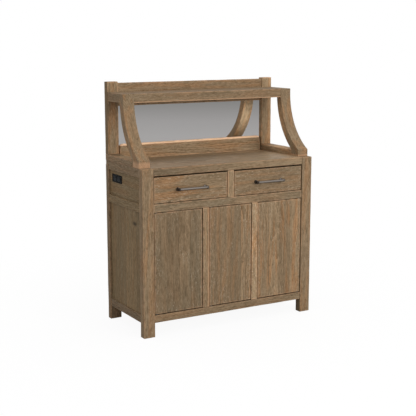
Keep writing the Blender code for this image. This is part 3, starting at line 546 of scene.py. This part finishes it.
def screws(name, places, tilt, radius, height):
    """Slotted screws: one head is turned and slotted, then copied, each with its slot turned on."""
    profile = [(height * rise, radius * share) for rise, share in SCREW_HEAD]
    first = turned("screw", (0, 0, 0), (0, 0, 0), profile, SCREW_SIDES)
    length, width, depth = SLOT_SHARES
    reach = Vector((radius * length, radius * width, height * depth))
    slot = block("slot", Vector((0, 0, height)) - reach, Vector((0, 0, height)) + reach)
    bpy.ops.object.mode_set(mode="OBJECT")
    cut(first, slot)
    copies = []
    for number, place in enumerate(places):
        turn = Vector(tilt) + Vector((0, number * SLOT_TURN, 0))
        copies.append(copied(first, "screw", place, turn))
    put_away(first)
    return joined(copies, name)


def burnished(name, colour, roughness, painted_highlight_span=None):
    """Burnished metal, brushed along the bar and rubbed brighter in places, or given a painted
    highlight on a span's front.

    The span is (start, end, colour) along X; its faces turned to the front and a little up get the
    painted highlight.
    """
    material, tree, shader = new_material(name)
    place = object_place(tree)
    scratch = noise(tree, drawn_out(tree, place, BRUSH_STRETCH), BRUSH_WIDTH)
    if painted_highlight_span:
        start, end, bright = painted_highlight_span
        # Painted highlight: faces turned to the front and a little up are lighter between the
        # span's ends.
        facing = shader_node(tree, "NewGeometry", {}).outputs["Normal"]
        front = shader_node(tree, "VectorMath", {0: facing, 1: HIGHLIGHT_FACING}, operation="DOT_PRODUCT")
        along = part_along(tree, place, "X")
        begun = spread(tree, along, start - HIGHLIGHT_BLUR, start + HIGHLIGHT_BLUR, 0.0, 1.0)
        going_on = spread(tree, along, end - HIGHLIGHT_BLUR, end + HIGHLIGHT_BLUR, 1.0, 0.0)
        rub = spread(tree, front.outputs["Value"], *HIGHLIGHT_SPAN)
        rub = maths(tree, "MULTIPLY", maths(tree, "MULTIPLY", rub, begun), going_on)
    else:
        bright = tuple(part * BRIGHT_GAIN for part in colour)
        rub = spread(tree, noise(tree, place, BRIGHT_WIDTH, detail=3.0), *BRIGHT_SPAN)
    tint = mixed(tree, rub, (*colour, 1), (*bright, 1))
    tree.links.new(tint, shader.inputs["Base Color"])
    dull = spread(tree, scratch, *NOISE_SPAN, roughness - BRUSH_SMOOTHS, roughness + BRUSH_DULLS)
    tree.links.new(dull, shader.inputs["Roughness"])
    shader.inputs["Metallic"].default_value = METALLIC
    bump = shader_node(tree, "Bump", {"Height": scratch, **BRUSH_RELIEF})
    tree.links.new(bump.outputs[0], shader.inputs["Normal"])
    return material


# Painted light and shade: the top is darker at its left end and lighter towards its right end,
# against the shade of the hutch, and lifted in tone overall.
board(
    "top_panel", "X", light=1.34, grey=0.6, warm=0.3, rings=0.15, planks=("Y", TOP_PLANK),
    fade=[(0, 0.79), (0.5, 0.97), (1, 1.12)], gloss=0.28, smooth=0.18
)
for node in ("bottom_panel", "inner_shelf", "drawer_deck", "latch_rail"):
    board(node, "X", tones=INNER_WOOD, planks=("Y", TOP_PLANK))
board("back_panel", "X", light=0.9)
steel = burnished("pin_steel", STEEL_GREY, STEEL_ROUGHNESS)
back_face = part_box("back_panel")[1].y
spots = [Vector((x, back_face, z)) for x, z in BACK_SCREWS]
heads = screws("back_screws", spots, FACING_BACK, BACK_SCREW_RADIUS, BACK_SCREW_HEIGHT)
fitted(heads, steel, "gunmetal", "case")

# Doors
# Three inset slab doors, each glued up from four upright oak boards. Steel pins pressed into the
# top and bottom near one edge turn in steel bushes in the rails. The doors have no pulls: a push
# on the free edge frees the latch behind it.
DOOR_PLANKS = 4
PLANK_EASE = 0.0007
PIN_LENGTH = 0.012
PIN_RADIUS = 0.003
PIN_COLLAR = 0.0052
PIN_FROM_EDGE = 0.012
PIN_FROM_FACE = 0.006
PIN_PROFILE = [
    (0.0, 0.0020), (0.0010, PIN_RADIUS), (0.0112, PIN_RADIUS), (0.0112, PIN_COLLAR),
    (PIN_LENGTH, PIN_COLLAR),
]
BUSH_BORE = 0.0036
BUSH_RIM = 0.0065
BUSH_THICKNESS = 0.0010
# The side edges of each door are paler: wear, and painted light that lifts the shade in the gaps
# beside them.
DOOR_EDGE_WEAR_AND_PAINTED_LIGHT = [("X", -1, 0.0006, "rubbed"), ("X", 1, 0.0006, "rubbed")]
DOOR_LOOKS = {
    "left": {"light": 1.00, "grey": 0.9, "warm": 0.2, "limed": 0.65},
    "middle": {"light": 1.08, "grey": 0.4, "warm": 0.6, "limed": 0.65, "rings": 0.18},
    "right": {"light": 1.12, "grey": 0.2, "warm": 1.0, "limed": 0.65},
}


def washer(name, middle, bore, rim, thickness):
    """A flat ring: a circle drawn outwards, then upwards."""
    bpy.ops.object.select_all(action="DESELECT")
    bpy.ops.mesh.primitive_circle_add(vertices=ROUND_SIDES, radius=bore, location=middle)
    piece = bpy.context.object
    piece.name = name
    bpy.ops.object.transform_apply(location=True, rotation=True, scale=True)
    bpy.ops.object.mode_set(mode="EDIT")
    bpy.ops.mesh.extrude_region_move(TRANSFORM_OT_translate={"value": (0, 0, 0)})
    bpy.ops.transform.resize(value=(rim / bore, rim / bore, 1), center_override=middle)
    bpy.ops.mesh.select_all(action="SELECT")
    bpy.ops.mesh.extrude_region_move(TRANSFORM_OT_translate={"value": (0, 0, thickness)})
    bpy.ops.mesh.select_all(action="SELECT")
    bpy.ops.mesh.normals_make_consistent(inside=False)
    return smoothed(piece)


low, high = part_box("door_left")
foot = turned("pin_foot", (0, 0, low.z), (0, 0, 0), PIN_PROFILE)
head = turned("pin_head", (0, 0, high.z), (math.pi, 0, 0), PIN_PROFILE)
pins = joined([foot, head], "pins")
bush_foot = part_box("front_bottom_rail")[1].z
bush_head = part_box("front_mid_rail")[0].z - BUSH_THICKNESS
lower = washer("bush_low", (0, 0, bush_foot), BUSH_BORE, BUSH_RIM, BUSH_THICKNESS)
bushes = joined([lower, copied(lower, "bush_high", (0, 0, bush_head - bush_foot))], "bushes")
for side, look in DOOR_LOOKS.items():
    door = f"door_{side}"
    low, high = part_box(door)
    pin_x = high.x - PIN_FROM_EDGE if side == "right" else low.x + PIN_FROM_EDGE
    spot = (pin_x, low.y + PIN_FROM_FACE, 0)
    fitted(copied(pins, f"{door}_pins", spot), steel, "gunmetal", door)
    fitted(copied(bushes, f"{door}_bushes", spot), steel, "gunmetal", "case")

    low.z += PIN_LENGTH
    high.z -= PIN_LENGTH
    wide = Vector(((high.x - low.x) / DOOR_PLANKS, 0, 0))
    planks = []
    for count in range(DOOR_PLANKS):
        end = Vector((low.x, high.y, high.z)) + wide * (count + 1)
        planks.append(worn_bar("plank", low + wide * count, end, "Z", PLANK_EASE))
    skin = wood(door, (low, high), "Z", planks=("X", wide.x), bare=DOOR_EDGE_WEAR_AND_PAINTED_LIGHT, **look)
    fitted(joined(planks, f"{door}_slab"), skin, "oak", door, door)
put_away(pins, bushes)

# Push latches
# A moulded grey plunger sits in the rail behind each door and is pressed in by it.
# Its mouth has a flange held by two screws. The skin has the fine grain of the mould.
FACING_FRONT = (math.pi / 2, 0, 0)
PLUNGER_PROFILE = [
    (0, 0.0044), (0.0003, 0.0056), (0.0010, 0.0066), (0.0020, 0.0066), (0.0021, 0.0048),
    (0.0060, 0.0048), (0.0062, 0.0044), (0.0070, 0.0044), (0.0072, 0.0048), (0.0228, 0.0048),
]
FLANGE_HALF = Vector((0.019, 0, 0.0105))
FLANGE_THICKNESS = Vector((0, 0.0018, 0))
FLANGE_CORNER = 0.005
FLANGE_EASE = 0.0005
FLANGE_MOUTH = 0.0078
FLANGE_SCREW = Vector((0.0135, 0, 0))
FLANGE_SCREW_RADIUS = 0.0026
FLANGE_SCREW_HEIGHT = 0.0010
LATCH_GREY, LATCH_ROUGHNESS = (0.16, 0.16, 0.165), 0.5
SPARK_WIDTH = 0.0007
SPARK_RELIEF = {"Strength": 0.25, "Distance": 0.0002}
TOUCHED_WIDTH, TOUCHED_SPAN = 0.012, (0.50, 0.75, 0.0, 0.5)
TOUCHED_GAIN, TOUCHED_LIFT = 1.8, 0.004
TOUCH_POLISHES = 0.1
DRILL_SIDES = 40


def moulded(name, colour, roughness, gloss=0.5):
    """Moulded plastic with a fine spark grain and faint rub marks."""
    material, tree, shader = new_material(name)
    place = object_place(tree)
    grain = noise(tree, place, SPARK_WIDTH)
    rub = noise(tree, place, TOUCHED_WIDTH, detail=3.0)
    worn = tuple(min(1.0, part * TOUCHED_GAIN + TOUCHED_LIFT) for part in colour)
    tint = mixed(tree, spread(tree, rub, *TOUCHED_SPAN), (*colour, 1), (*worn, 1))
    tree.links.new(tint, shader.inputs["Base Color"])
    dull = spread(tree, rub, *NOISE_SPAN, roughness + TOUCH_POLISHES, roughness - TOUCH_POLISHES)
    tree.links.new(dull, shader.inputs["Roughness"])
    shader.inputs["Specular IOR Level"].default_value = gloss
    bump = shader_node(tree, "Bump", {"Height": grain, **SPARK_RELIEF})
    tree.links.new(bump.outputs[0], shader.inputs["Normal"])
    return material


def plate(name, low, high, through, corner, ease=0.0):
    """A plate with round corners and an eased front, which faces down the axis through it."""
    axis = AXES.index(through)
    thick = (high - low)[axis]
    piece = block(name, low, high)
    pick("edges", lambda edge: abs(edge.verts[1].co[axis] - edge.verts[0].co[axis]) > thick / 2)
    bpy.ops.mesh.bevel(offset=corner, segments=6, affect="EDGES")
    if ease:
        pick("faces", lambda face: face.normal[axis] < -SQUARE_ON)
        bpy.ops.mesh.bevel(offset=ease, segments=2, affect="EDGES")
    return smoothed(piece)


def drilled(piece, middle, tilt, radius, depth):
    """Drills a round hole through a piece."""
    bpy.ops.object.select_all(action="DESELECT")
    bpy.ops.mesh.primitive_cylinder_add(
        vertices=DRILL_SIDES, radius=radius, depth=depth, location=middle, rotation=tilt
    )
    cut(piece, bpy.context.object)


grey_plastic = moulded("latch_grey", LATCH_GREY, LATCH_ROUGHNESS)
tip = Vector((0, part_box("latch_plunger_left")[0].y, 0))
pin = turned("plunger", tip, FACING_BACK, PLUNGER_PROFILE)
seat = Vector((0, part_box("latch_rail")[0].y, 0))
corner = seat - FLANGE_HALF - FLANGE_THICKNESS
flange = plate("flange", corner, seat + FLANGE_HALF, "Y", FLANGE_CORNER, FLANGE_EASE)
drilled(flange, seat, FACING_FRONT, FLANGE_MOUTH, 4 * FLANGE_THICKNESS.y)
spots = [seat - FLANGE_THICKNESS + hand * FLANGE_SCREW for hand in (-1, 1)]
heads = screws("flange_screws", spots, FACING_FRONT, FLANGE_SCREW_RADIUS, FLANGE_SCREW_HEIGHT)
for side in DOOR_LOOKS:
    plunger = f"latch_plunger_{side}"
    low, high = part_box(plunger)
    spot = ((low.x + high.x) / 2, 0, (low.z + high.z) / 2)
    sprung = copied(pin, f"{plunger}_turned", spot)
    fitted(sprung, grey_plastic, "grey_plastic", f"latch_{side}", plunger)
    fitted(copied(flange, f"latch_flange_{side}", spot), grey_plastic, "grey_plastic", "case")
    fitted(copied(heads, f"latch_screws_{side}", spot), steel, "gunmetal", "case")
put_away(pin, flange, heads)

# Drawers
# Each drawer is a pale hardwood box with an oak front, joined at the front by half-blind dovetails.
# The front is one plain-sawn board laid flat.
DRAWER_LOOKS = {
    "left": {"light": 1.08, "grey": 0.2, "warm": 1.0, "limed": 0.8},
    "right": {"light": 1.02, "grey": 0.5, "warm": 0.6, "limed": 0.8},
}
for side, look in DRAWER_LOOKS.items():
    # Painted shade, with dark glaze: the top of each drawer front is dark, in the gap under the top
    # rail.
    board(f"drawer_{side}_front", "X", bare=[("Z", 1, 0.0020, "pore")], **look)
    for part in ("inner_side", "outer_side", "bottom"):
        board(f"drawer_{side}_{part}", "Y", tones=INNER_WOOD)
    board(f"drawer_{side}_back", "X", tones=INNER_WOOD)

# Pulls
# A round bar pull with a collar on each end, carried by two turned posts, in dark burnished steel.
# Screws from inside the drawer front hold the posts. The bar's front carries a painted highlight.
BAR_RADIUS = 0.0062
COLLAR_RADIUS = 0.0080
COLLAR_LENGTH = 0.014
POST_FROM_END = 0.010
POST_NECK = 0.0055
PULL_STEEL, PULL_ROUGHNESS = (0.042, 0.032, 0.026), 0.40
HIGHLIGHT_STEEL = (0.30, 0.265, 0.235)
PULL_SCREW_RADIUS = 0.0042
PULL_SCREW_HEIGHT = 0.0020
ALONG_X = (0, math.pi / 2, 0)
BAR_END = [
    (0, 0.0052), (0.0008, 0.0070), (0.0022, COLLAR_RADIUS), (COLLAR_LENGTH - 0.002, COLLAR_RADIUS),
    (COLLAR_LENGTH - 0.0008, 0.0073), (COLLAR_LENGTH, BAR_RADIUS),
]
POST_PROFILE = [
    (0, 0.0100), (0.0012, 0.0104), (0.0026, 0.0098), (0.0036, 0.0078), (0.0050, 0.0062),
    (0.0080, POST_NECK),
]
low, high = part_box("drawer_left_pull")
length = high.x - low.x
axis = Vector((0, low.y + BAR_RADIUS, (low.z + high.z) / 2))
far_end = [(length - reach, radius) for reach, radius in reversed(BAR_END)]
bar = turned("bar", axis, ALONG_X, BAR_END + far_end)
foot = Vector((POST_FROM_END, high.y, axis.z))
post = turned("post", foot, FACING_FRONT, [*POST_PROFILE, (high.y - axis.y, POST_NECK)])
to_far_post = Vector((length - 2 * POST_FROM_END, 0, 0))
pull = joined([bar, post, copied(post, "far_post", to_far_post)], "pull")
behind = Vector((foot.x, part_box("drawer_left_front")[1].y, foot.z))
spots = [behind, behind + to_far_post]
heads = screws("pull_screws", spots, FACING_BACK, PULL_SCREW_RADIUS, PULL_SCREW_HEIGHT)
for side in DRAWER_LOOKS:
    node = f"drawer_{side}_pull"
    low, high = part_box(node)
    spot = (low.x, 0, 0)
    painted_highlight_span = (low.x + COLLAR_LENGTH, high.x - COLLAR_LENGTH / 2, HIGHLIGHT_STEEL)
    metal = burnished(f"gunmetal_{side}", PULL_STEEL, PULL_ROUGHNESS, painted_highlight_span)
    fitted(copied(pull, f"{node}_turned", spot), metal, "gunmetal", f"drawer_{side}", node)
    fitted(copied(heads, f"{node}_screws", spot), steel, "gunmetal", f"drawer_{side}")
put_away(pull, heads)

# Hutch ends
# On each end of the top lies an oak gallery rail that carries a rear post and ties it to a bracket.
# The brackets are sawn to two arcs from one board, with the grain along their lean, and carry the
# side rails of the shelf.
BRACKET_LEAN = math.radians(26)
BRACKET_BARE = {"left": [("Z", -1, 0.036, "rubbed")], "right": [("Z", -1, 0.012, "rubbed")]}
# Painted light: the right gallery rail is lifted in tone against its shade.
GALLERY_LOOKS = {"left": {}, "right": {"light": 1.40, "warm": 1.0, "grey": 0.1}}
# Painted light and shade: both hutch posts are lifted in tone against the shade of the shelf, and
# the left post darkens under the shelf and along its left face.
HUTCH_POST_LOOKS = {
    "left": {
        "light": 1.26, "fade": [(0, 1.14), (0.30, 0.97), (0.68, 0.74), (0.86, 1.06)],
        "bare": [("X", -1, 0.0030, "dark")],
    },
    "right": {"light": 1.62},
}
for side, look in HUTCH_POST_LOOKS.items():
    worn_board(f"gallery_rail_{side}", "Y", **GALLERY_LOOKS[side])
    worn_board(f"hutch_post_{side}", "Z", warm=0.9, **look)
    board(
        f"bracket_{side}", "Z", lean=BRACKET_LEAN, wear=0.0, light=1.12, warm=0.8,
        bare=BRACKET_BARE[side]
    )
    board(f"shelf_side_rail_{side}", "Y")

# Hutch shelf and back
# The oak shelf is glued up from long boards and sits in rebates of its rails. The back rail above
# it, tenoned between the posts, stops what stands there. The backsplash covers the mirror's foot,
# and a cleat behind it closes the slot under the mirror's backing board.
# Painted light: the foot and underside of the shelf's front rail are paler and warmer, as light
# bounced up from the top.
RAIL_FOOT_PAINTED_LIGHT = [("Z", -1, 0.006, "rubbed"), ("Z", -1, 0.0016, "bare")]
board("hutch_shelf", "X", planks=("Y", TOP_PLANK))
board("shelf_front_rail", "X", bare=RAIL_FOOT_PAINTED_LIGHT)
worn_board("hutch_back_rail", "X", TENON, light=1.19, warm=0.7)
# Painted highlight and painted light: the top of the backsplash is pale, as its top edge lit and
# seen again in the mirror, and the whole board is lifted against the shade of the shelf.
board("backsplash", "X", light=1.46, warm=0.7, rings=0.2, bare=[("Z", 1, 0.012, "bare")])
board("mirror_back", "X", light=0.9)
low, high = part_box("mirror_back")
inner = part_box("gallery_rail_right")[0].x
cleat_low = Vector((-inner, low.y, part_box("backsplash")[0].z))
cleat_high = Vector((inner, high.y, low.z))
cleat = worn_bar("mirror_cleat", cleat_low, cleat_high, "X")
fitted(cleat, wood("mirror_cleat", (cleat_low, cleat_high), "X", light=0.9), "oak", "case")

# Mirror
# A plate of float glass, silvered on its back, stands behind the backsplash in grooves of the rear
# posts. Its backing board holds it from behind. The silver is a little hazy in places.
SILVER = (0.86, 0.88, 0.89, 1)
HAZE_WIDTH = 0.080
CLEAR_ROUGHNESS, HAZY_ROUGHNESS = 0.012, 0.035
material, tree, shader = new_material("silvered_glass")
haze = noise(tree, object_place(tree), HAZE_WIDTH, detail=3.0)
haze = spread(tree, haze, *NOISE_SPAN, CLEAR_ROUGHNESS, HAZY_ROUGHNESS)
tree.links.new(haze, shader.inputs["Roughness"])
shader.inputs["Base Color"].default_value = SILVER
shader.inputs["Metallic"].default_value = 1.0
dress("mirror", material)

# Power outlet
# A black moulded bezel on the left end frames the socket module, which is pushed through the panel
# behind it. Two socket faces stand a little proud, each with two blade slots and an earth hole.
BEZEL_CORNER = 0.005
BEZEL_EASE = 0.0007
WINDOW_CORNER = 0.003
SOCKET_HALF = Vector((0, 0.0165, 0.0135))
SOCKET_PROUD = Vector((0.0009, 0, 0))
SOCKET_CORNER = 0.0055
SOCKET_EASE = 0.0004
SOCKET_FROM_MIDDLE = Vector((0, 0.025, 0))
BLADE_HALF = Vector((0.002, 0.0011, 0.0040))
BLADE_FROM_MIDDLE = Vector((0, 0.0064, 0))
BLADE_RISE = Vector((0, 0, 0.0038))
EARTH_DROP = Vector((0, 0, 0.0062))
EARTH_RADIUS = 0.0025
EARTH_DEPTH = 0.006
BEZEL_BLACK = {"colour": (0.004, 0.004, 0.004), "roughness": 0.65, "gloss": 0.05}
MODULE_BLACK = {"colour": (0.006, 0.006, 0.006), "roughness": 0.65, "gloss": 0.06}
SOCKET_BLACK = {"colour": (0.004, 0.005, 0.006), "roughness": 0.55, "gloss": 0.10}
low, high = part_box("outlet_bezel")
bezel = plate("outlet_bezel_frame", low, high, "X", BEZEL_CORNER, BEZEL_EASE)
window_front = Vector((low.x - high.x, 0, 0))
low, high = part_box("outlet_module")
cut(bezel, plate("window", low + window_front, high, "X", WINDOW_CORNER))
fitted(bezel, moulded("outlet_black", **BEZEL_BLACK), "black_plastic", "case", "outlet_bezel")
dress("outlet_module", moulded("socket_black", **MODULE_BLACK))
middle = Vector((low.x, (low.y + high.y) / 2, (low.z + high.z) / 2)) - SOCKET_FROM_MIDDLE
corner = middle - SOCKET_HALF - SOCKET_PROUD
socket = plate("socket", corner, middle + SOCKET_HALF, "X", SOCKET_CORNER, SOCKET_EASE)
for hand in (-1, 1):
    spot = middle + hand * BLADE_FROM_MIDDLE + BLADE_RISE
    slot = block("slot", spot - BLADE_HALF, spot + BLADE_HALF)
    bpy.ops.object.mode_set(mode="OBJECT")
    cut(socket, slot)
drilled(socket, middle - EARTH_DROP, ALONG_X, EARTH_RADIUS, EARTH_DEPTH)
sockets = joined([socket, copied(socket, "far_socket", 2 * SOCKET_FROM_MIDDLE)], "outlet_sockets")
fitted(sockets, moulded("socket_face", **SOCKET_BLACK), "black_plastic", "case")

# Studio floor
# A pale matt floor that takes the soft shadow of the cabinet. It looks white to the camera, and its
# bounce on the cabinet is that of a mid grey.
FLOOR_SIZE = 6.0
FLOOR_LEVEL = -0.0005
FLOOR_ROUGHNESS = 0.9
FLOOR_BOUNCE, FLOOR_SEEN = 0.50, 0.92
FLOOR_WHITE = (0.7, 2.0, 0.93, 1.0)


def seen_share(tree):
    """1 where the camera sees a thing, also in a mirror or glass, and 0 for the light it throws."""
    path = shader_node(tree, "LightPath", {}).outputs
    seen = maths(tree, "MAXIMUM", path["Is Camera Ray"], path["Is Glossy Ray"])
    return maths(tree, "MAXIMUM", seen, path["Is Transmission Ray"])


bpy.ops.object.select_all(action="DESELECT")
bpy.ops.mesh.primitive_plane_add(size=FLOOR_SIZE, location=(0, 0, FLOOR_LEVEL))
floor = bpy.context.object
floor.name = "studio_floor"
material, tree, shader = new_material("studio_floor")
shader.inputs["Roughness"].default_value = FLOOR_ROUGHNESS
shader.inputs["Specular IOR Level"].default_value = 0.0
seen = seen_share(tree)
tone = spread(tree, seen, 0.0, 1.0, FLOOR_BOUNCE, FLOOR_SEEN)
tree.links.new(tone, shader.inputs["Base Color"])
white = shader_node(tree, "Emission", {"Color": (1, 1, 1, 1), "Strength": 1.0}).outputs[0]
away = shader_node(tree, "VectorMath", {0: object_place(tree)}, operation="LENGTH")
share = maths(tree, "MULTIPLY", seen, spread(tree, away.outputs["Value"], *FLOOR_WHITE))
surface = shader_node(tree, "MixShader", {0: share, 1: shader.outputs[0], 2: white}).outputs[0]
tree.links.new(surface, tree.nodes["Material Output"].inputs["Surface"])
floor.data.materials.append(material)

# Grey card
# A large card behind the camera that only the mirror shows, as a lit room would be.
# It is darker towards its top, as the mirror is in the photograph.
CARD_SIZE = (5.0, 3.0, 1.0)
CARD_MIDDLE = Vector((3.3, -6.0, 0.9))
CARD_TARGET = Vector((0, 0.2, 1.1))
CARD_HEIGHTS = (0.25, 0.75)
CARD_GREYS = [
    (0, (0.430, 0.410, 0.400)), (0.4, (0.388, 0.368, 0.360)), (1, (0.250, 0.240, 0.228)),
]
bpy.ops.object.select_all(action="DESELECT")
bpy.ops.mesh.primitive_plane_add(size=1, location=(0, 0, 0))
card = bpy.context.object
card.name = "studio_card"
facing = CARD_TARGET - CARD_MIDDLE
card.scale = CARD_SIZE
card.rotation_euler = (math.pi / 2, 0, math.atan2(facing.y, facing.x) + math.pi / 2)
card.location = CARD_MIDDLE
bpy.ops.object.transform_apply(location=True, rotation=True, scale=True)
material, tree, shader = new_material("studio_card")
height = part_along(tree, object_place(tree), "Z")
greys = colours_along(tree, spread(tree, height, *CARD_HEIGHTS, 0, 1), CARD_GREYS)
glow = shader_node(tree, "Emission", {"Color": greys, "Strength": 1.0}).outputs[0]
tree.links.new(glow, tree.nodes["Material Output"].inputs["Surface"])
card.data.materials.append(material)
card.visible_camera = False
card.visible_diffuse = False
card.visible_shadow = False

# Light
# A white surround, brighter from above and from the right, with a large soft lamp at front right.
# Two small lamps at the mirror stand in for the light that it throws on the hutch's inner sides.
LIGHT_SIDE = (0.35, -0.20, 0.915)
SKY_DIM = 0.12
SKY_BRIGHT = 1.12
KEY_PLACE = Vector((1.2, -4.6, 2.2))
KEY_TARGET = Vector((0, 0, 0.7))
KEY_SIZE, KEY_POWER = 2.0, 80
THROW_PLACE = Vector((0.43, 0.185, 1.05))
THROW_TARGET = Vector((0.50, -0.1, 1.04))
THROW_SIZE, THROW_POWER, THROW_SPREAD = 0.10, 0.28, 110


def soft_light(name, place, target, size, power, spread_angle=180):
    lamp = bpy.data.lights.new(name, "AREA")
    lamp.spread = math.radians(spread_angle)
    lamp.shape = "SQUARE"
    lamp.size = size
    lamp.energy = power
    made = bpy.data.objects.new(name, lamp)
    made.location = place
    made.rotation_euler = (target - place).to_track_quat("-Z", "Y").to_euler()
    made.visible_glossy = False
    bpy.context.scene.collection.objects.link(made)


world = bpy.data.worlds.new("studio")
bpy.context.scene.world = world
world.use_nodes = True
tree = world.node_tree
seen = seen_share(tree)
aim = shader_node(tree, "TexCoord", {}).outputs["Generated"]
upward = shader_node(tree, "VectorMath", {0: aim, 1: LIGHT_SIDE}, operation="DOT_PRODUCT")
sky = spread(tree, upward.outputs["Value"], -1.0, 1.0, SKY_DIM, SKY_BRIGHT)
sky = maths(tree, "MULTIPLY", sky, maths(tree, "SUBTRACT", 1.0, seen))
background = tree.nodes["Background"]
background.inputs["Color"].default_value = (1, 1, 1, 1)
tree.links.new(maths(tree, "ADD", sky, seen), background.inputs["Strength"])
soft_light("key", KEY_PLACE, KEY_TARGET, KEY_SIZE, KEY_POWER)
for hand in (-1, 1):
    place, target = (spot * Vector((hand, 1, 1)) for spot in (THROW_PLACE, THROW_TARGET))
    soft_light(f"mirror_throw_{hand}", place, target, THROW_SIZE, THROW_POWER, THROW_SPREAD)

# Camera
# It stands where the photograph was taken: left of the cabinet, a little above it and far off.
# Place, aim and lens were fitted to the edges of the base and the hutch.
CAMERA_PLACE = Vector((-2.6582, -4.5645, 1.5936))
CAMERA_TARGET = Vector((0.0262, 0.0806, 0.6055))
CAMERA_LENS = 82.55
SENSOR_WIDTH = 36.0
lens = bpy.data.cameras.new("photo_camera")
lens.lens = CAMERA_LENS
lens.sensor_width = SENSOR_WIDTH
camera = bpy.data.objects.new("photo_camera", lens)
camera.location = CAMERA_PLACE
camera.rotation_euler = (CAMERA_TARGET - CAMERA_PLACE).to_track_quat("-Z", "Y").to_euler()
bpy.context.scene.collection.objects.link(camera)
bpy.context.scene.camera = camera
bpy.context.scene.view_settings.view_transform = "Standard"
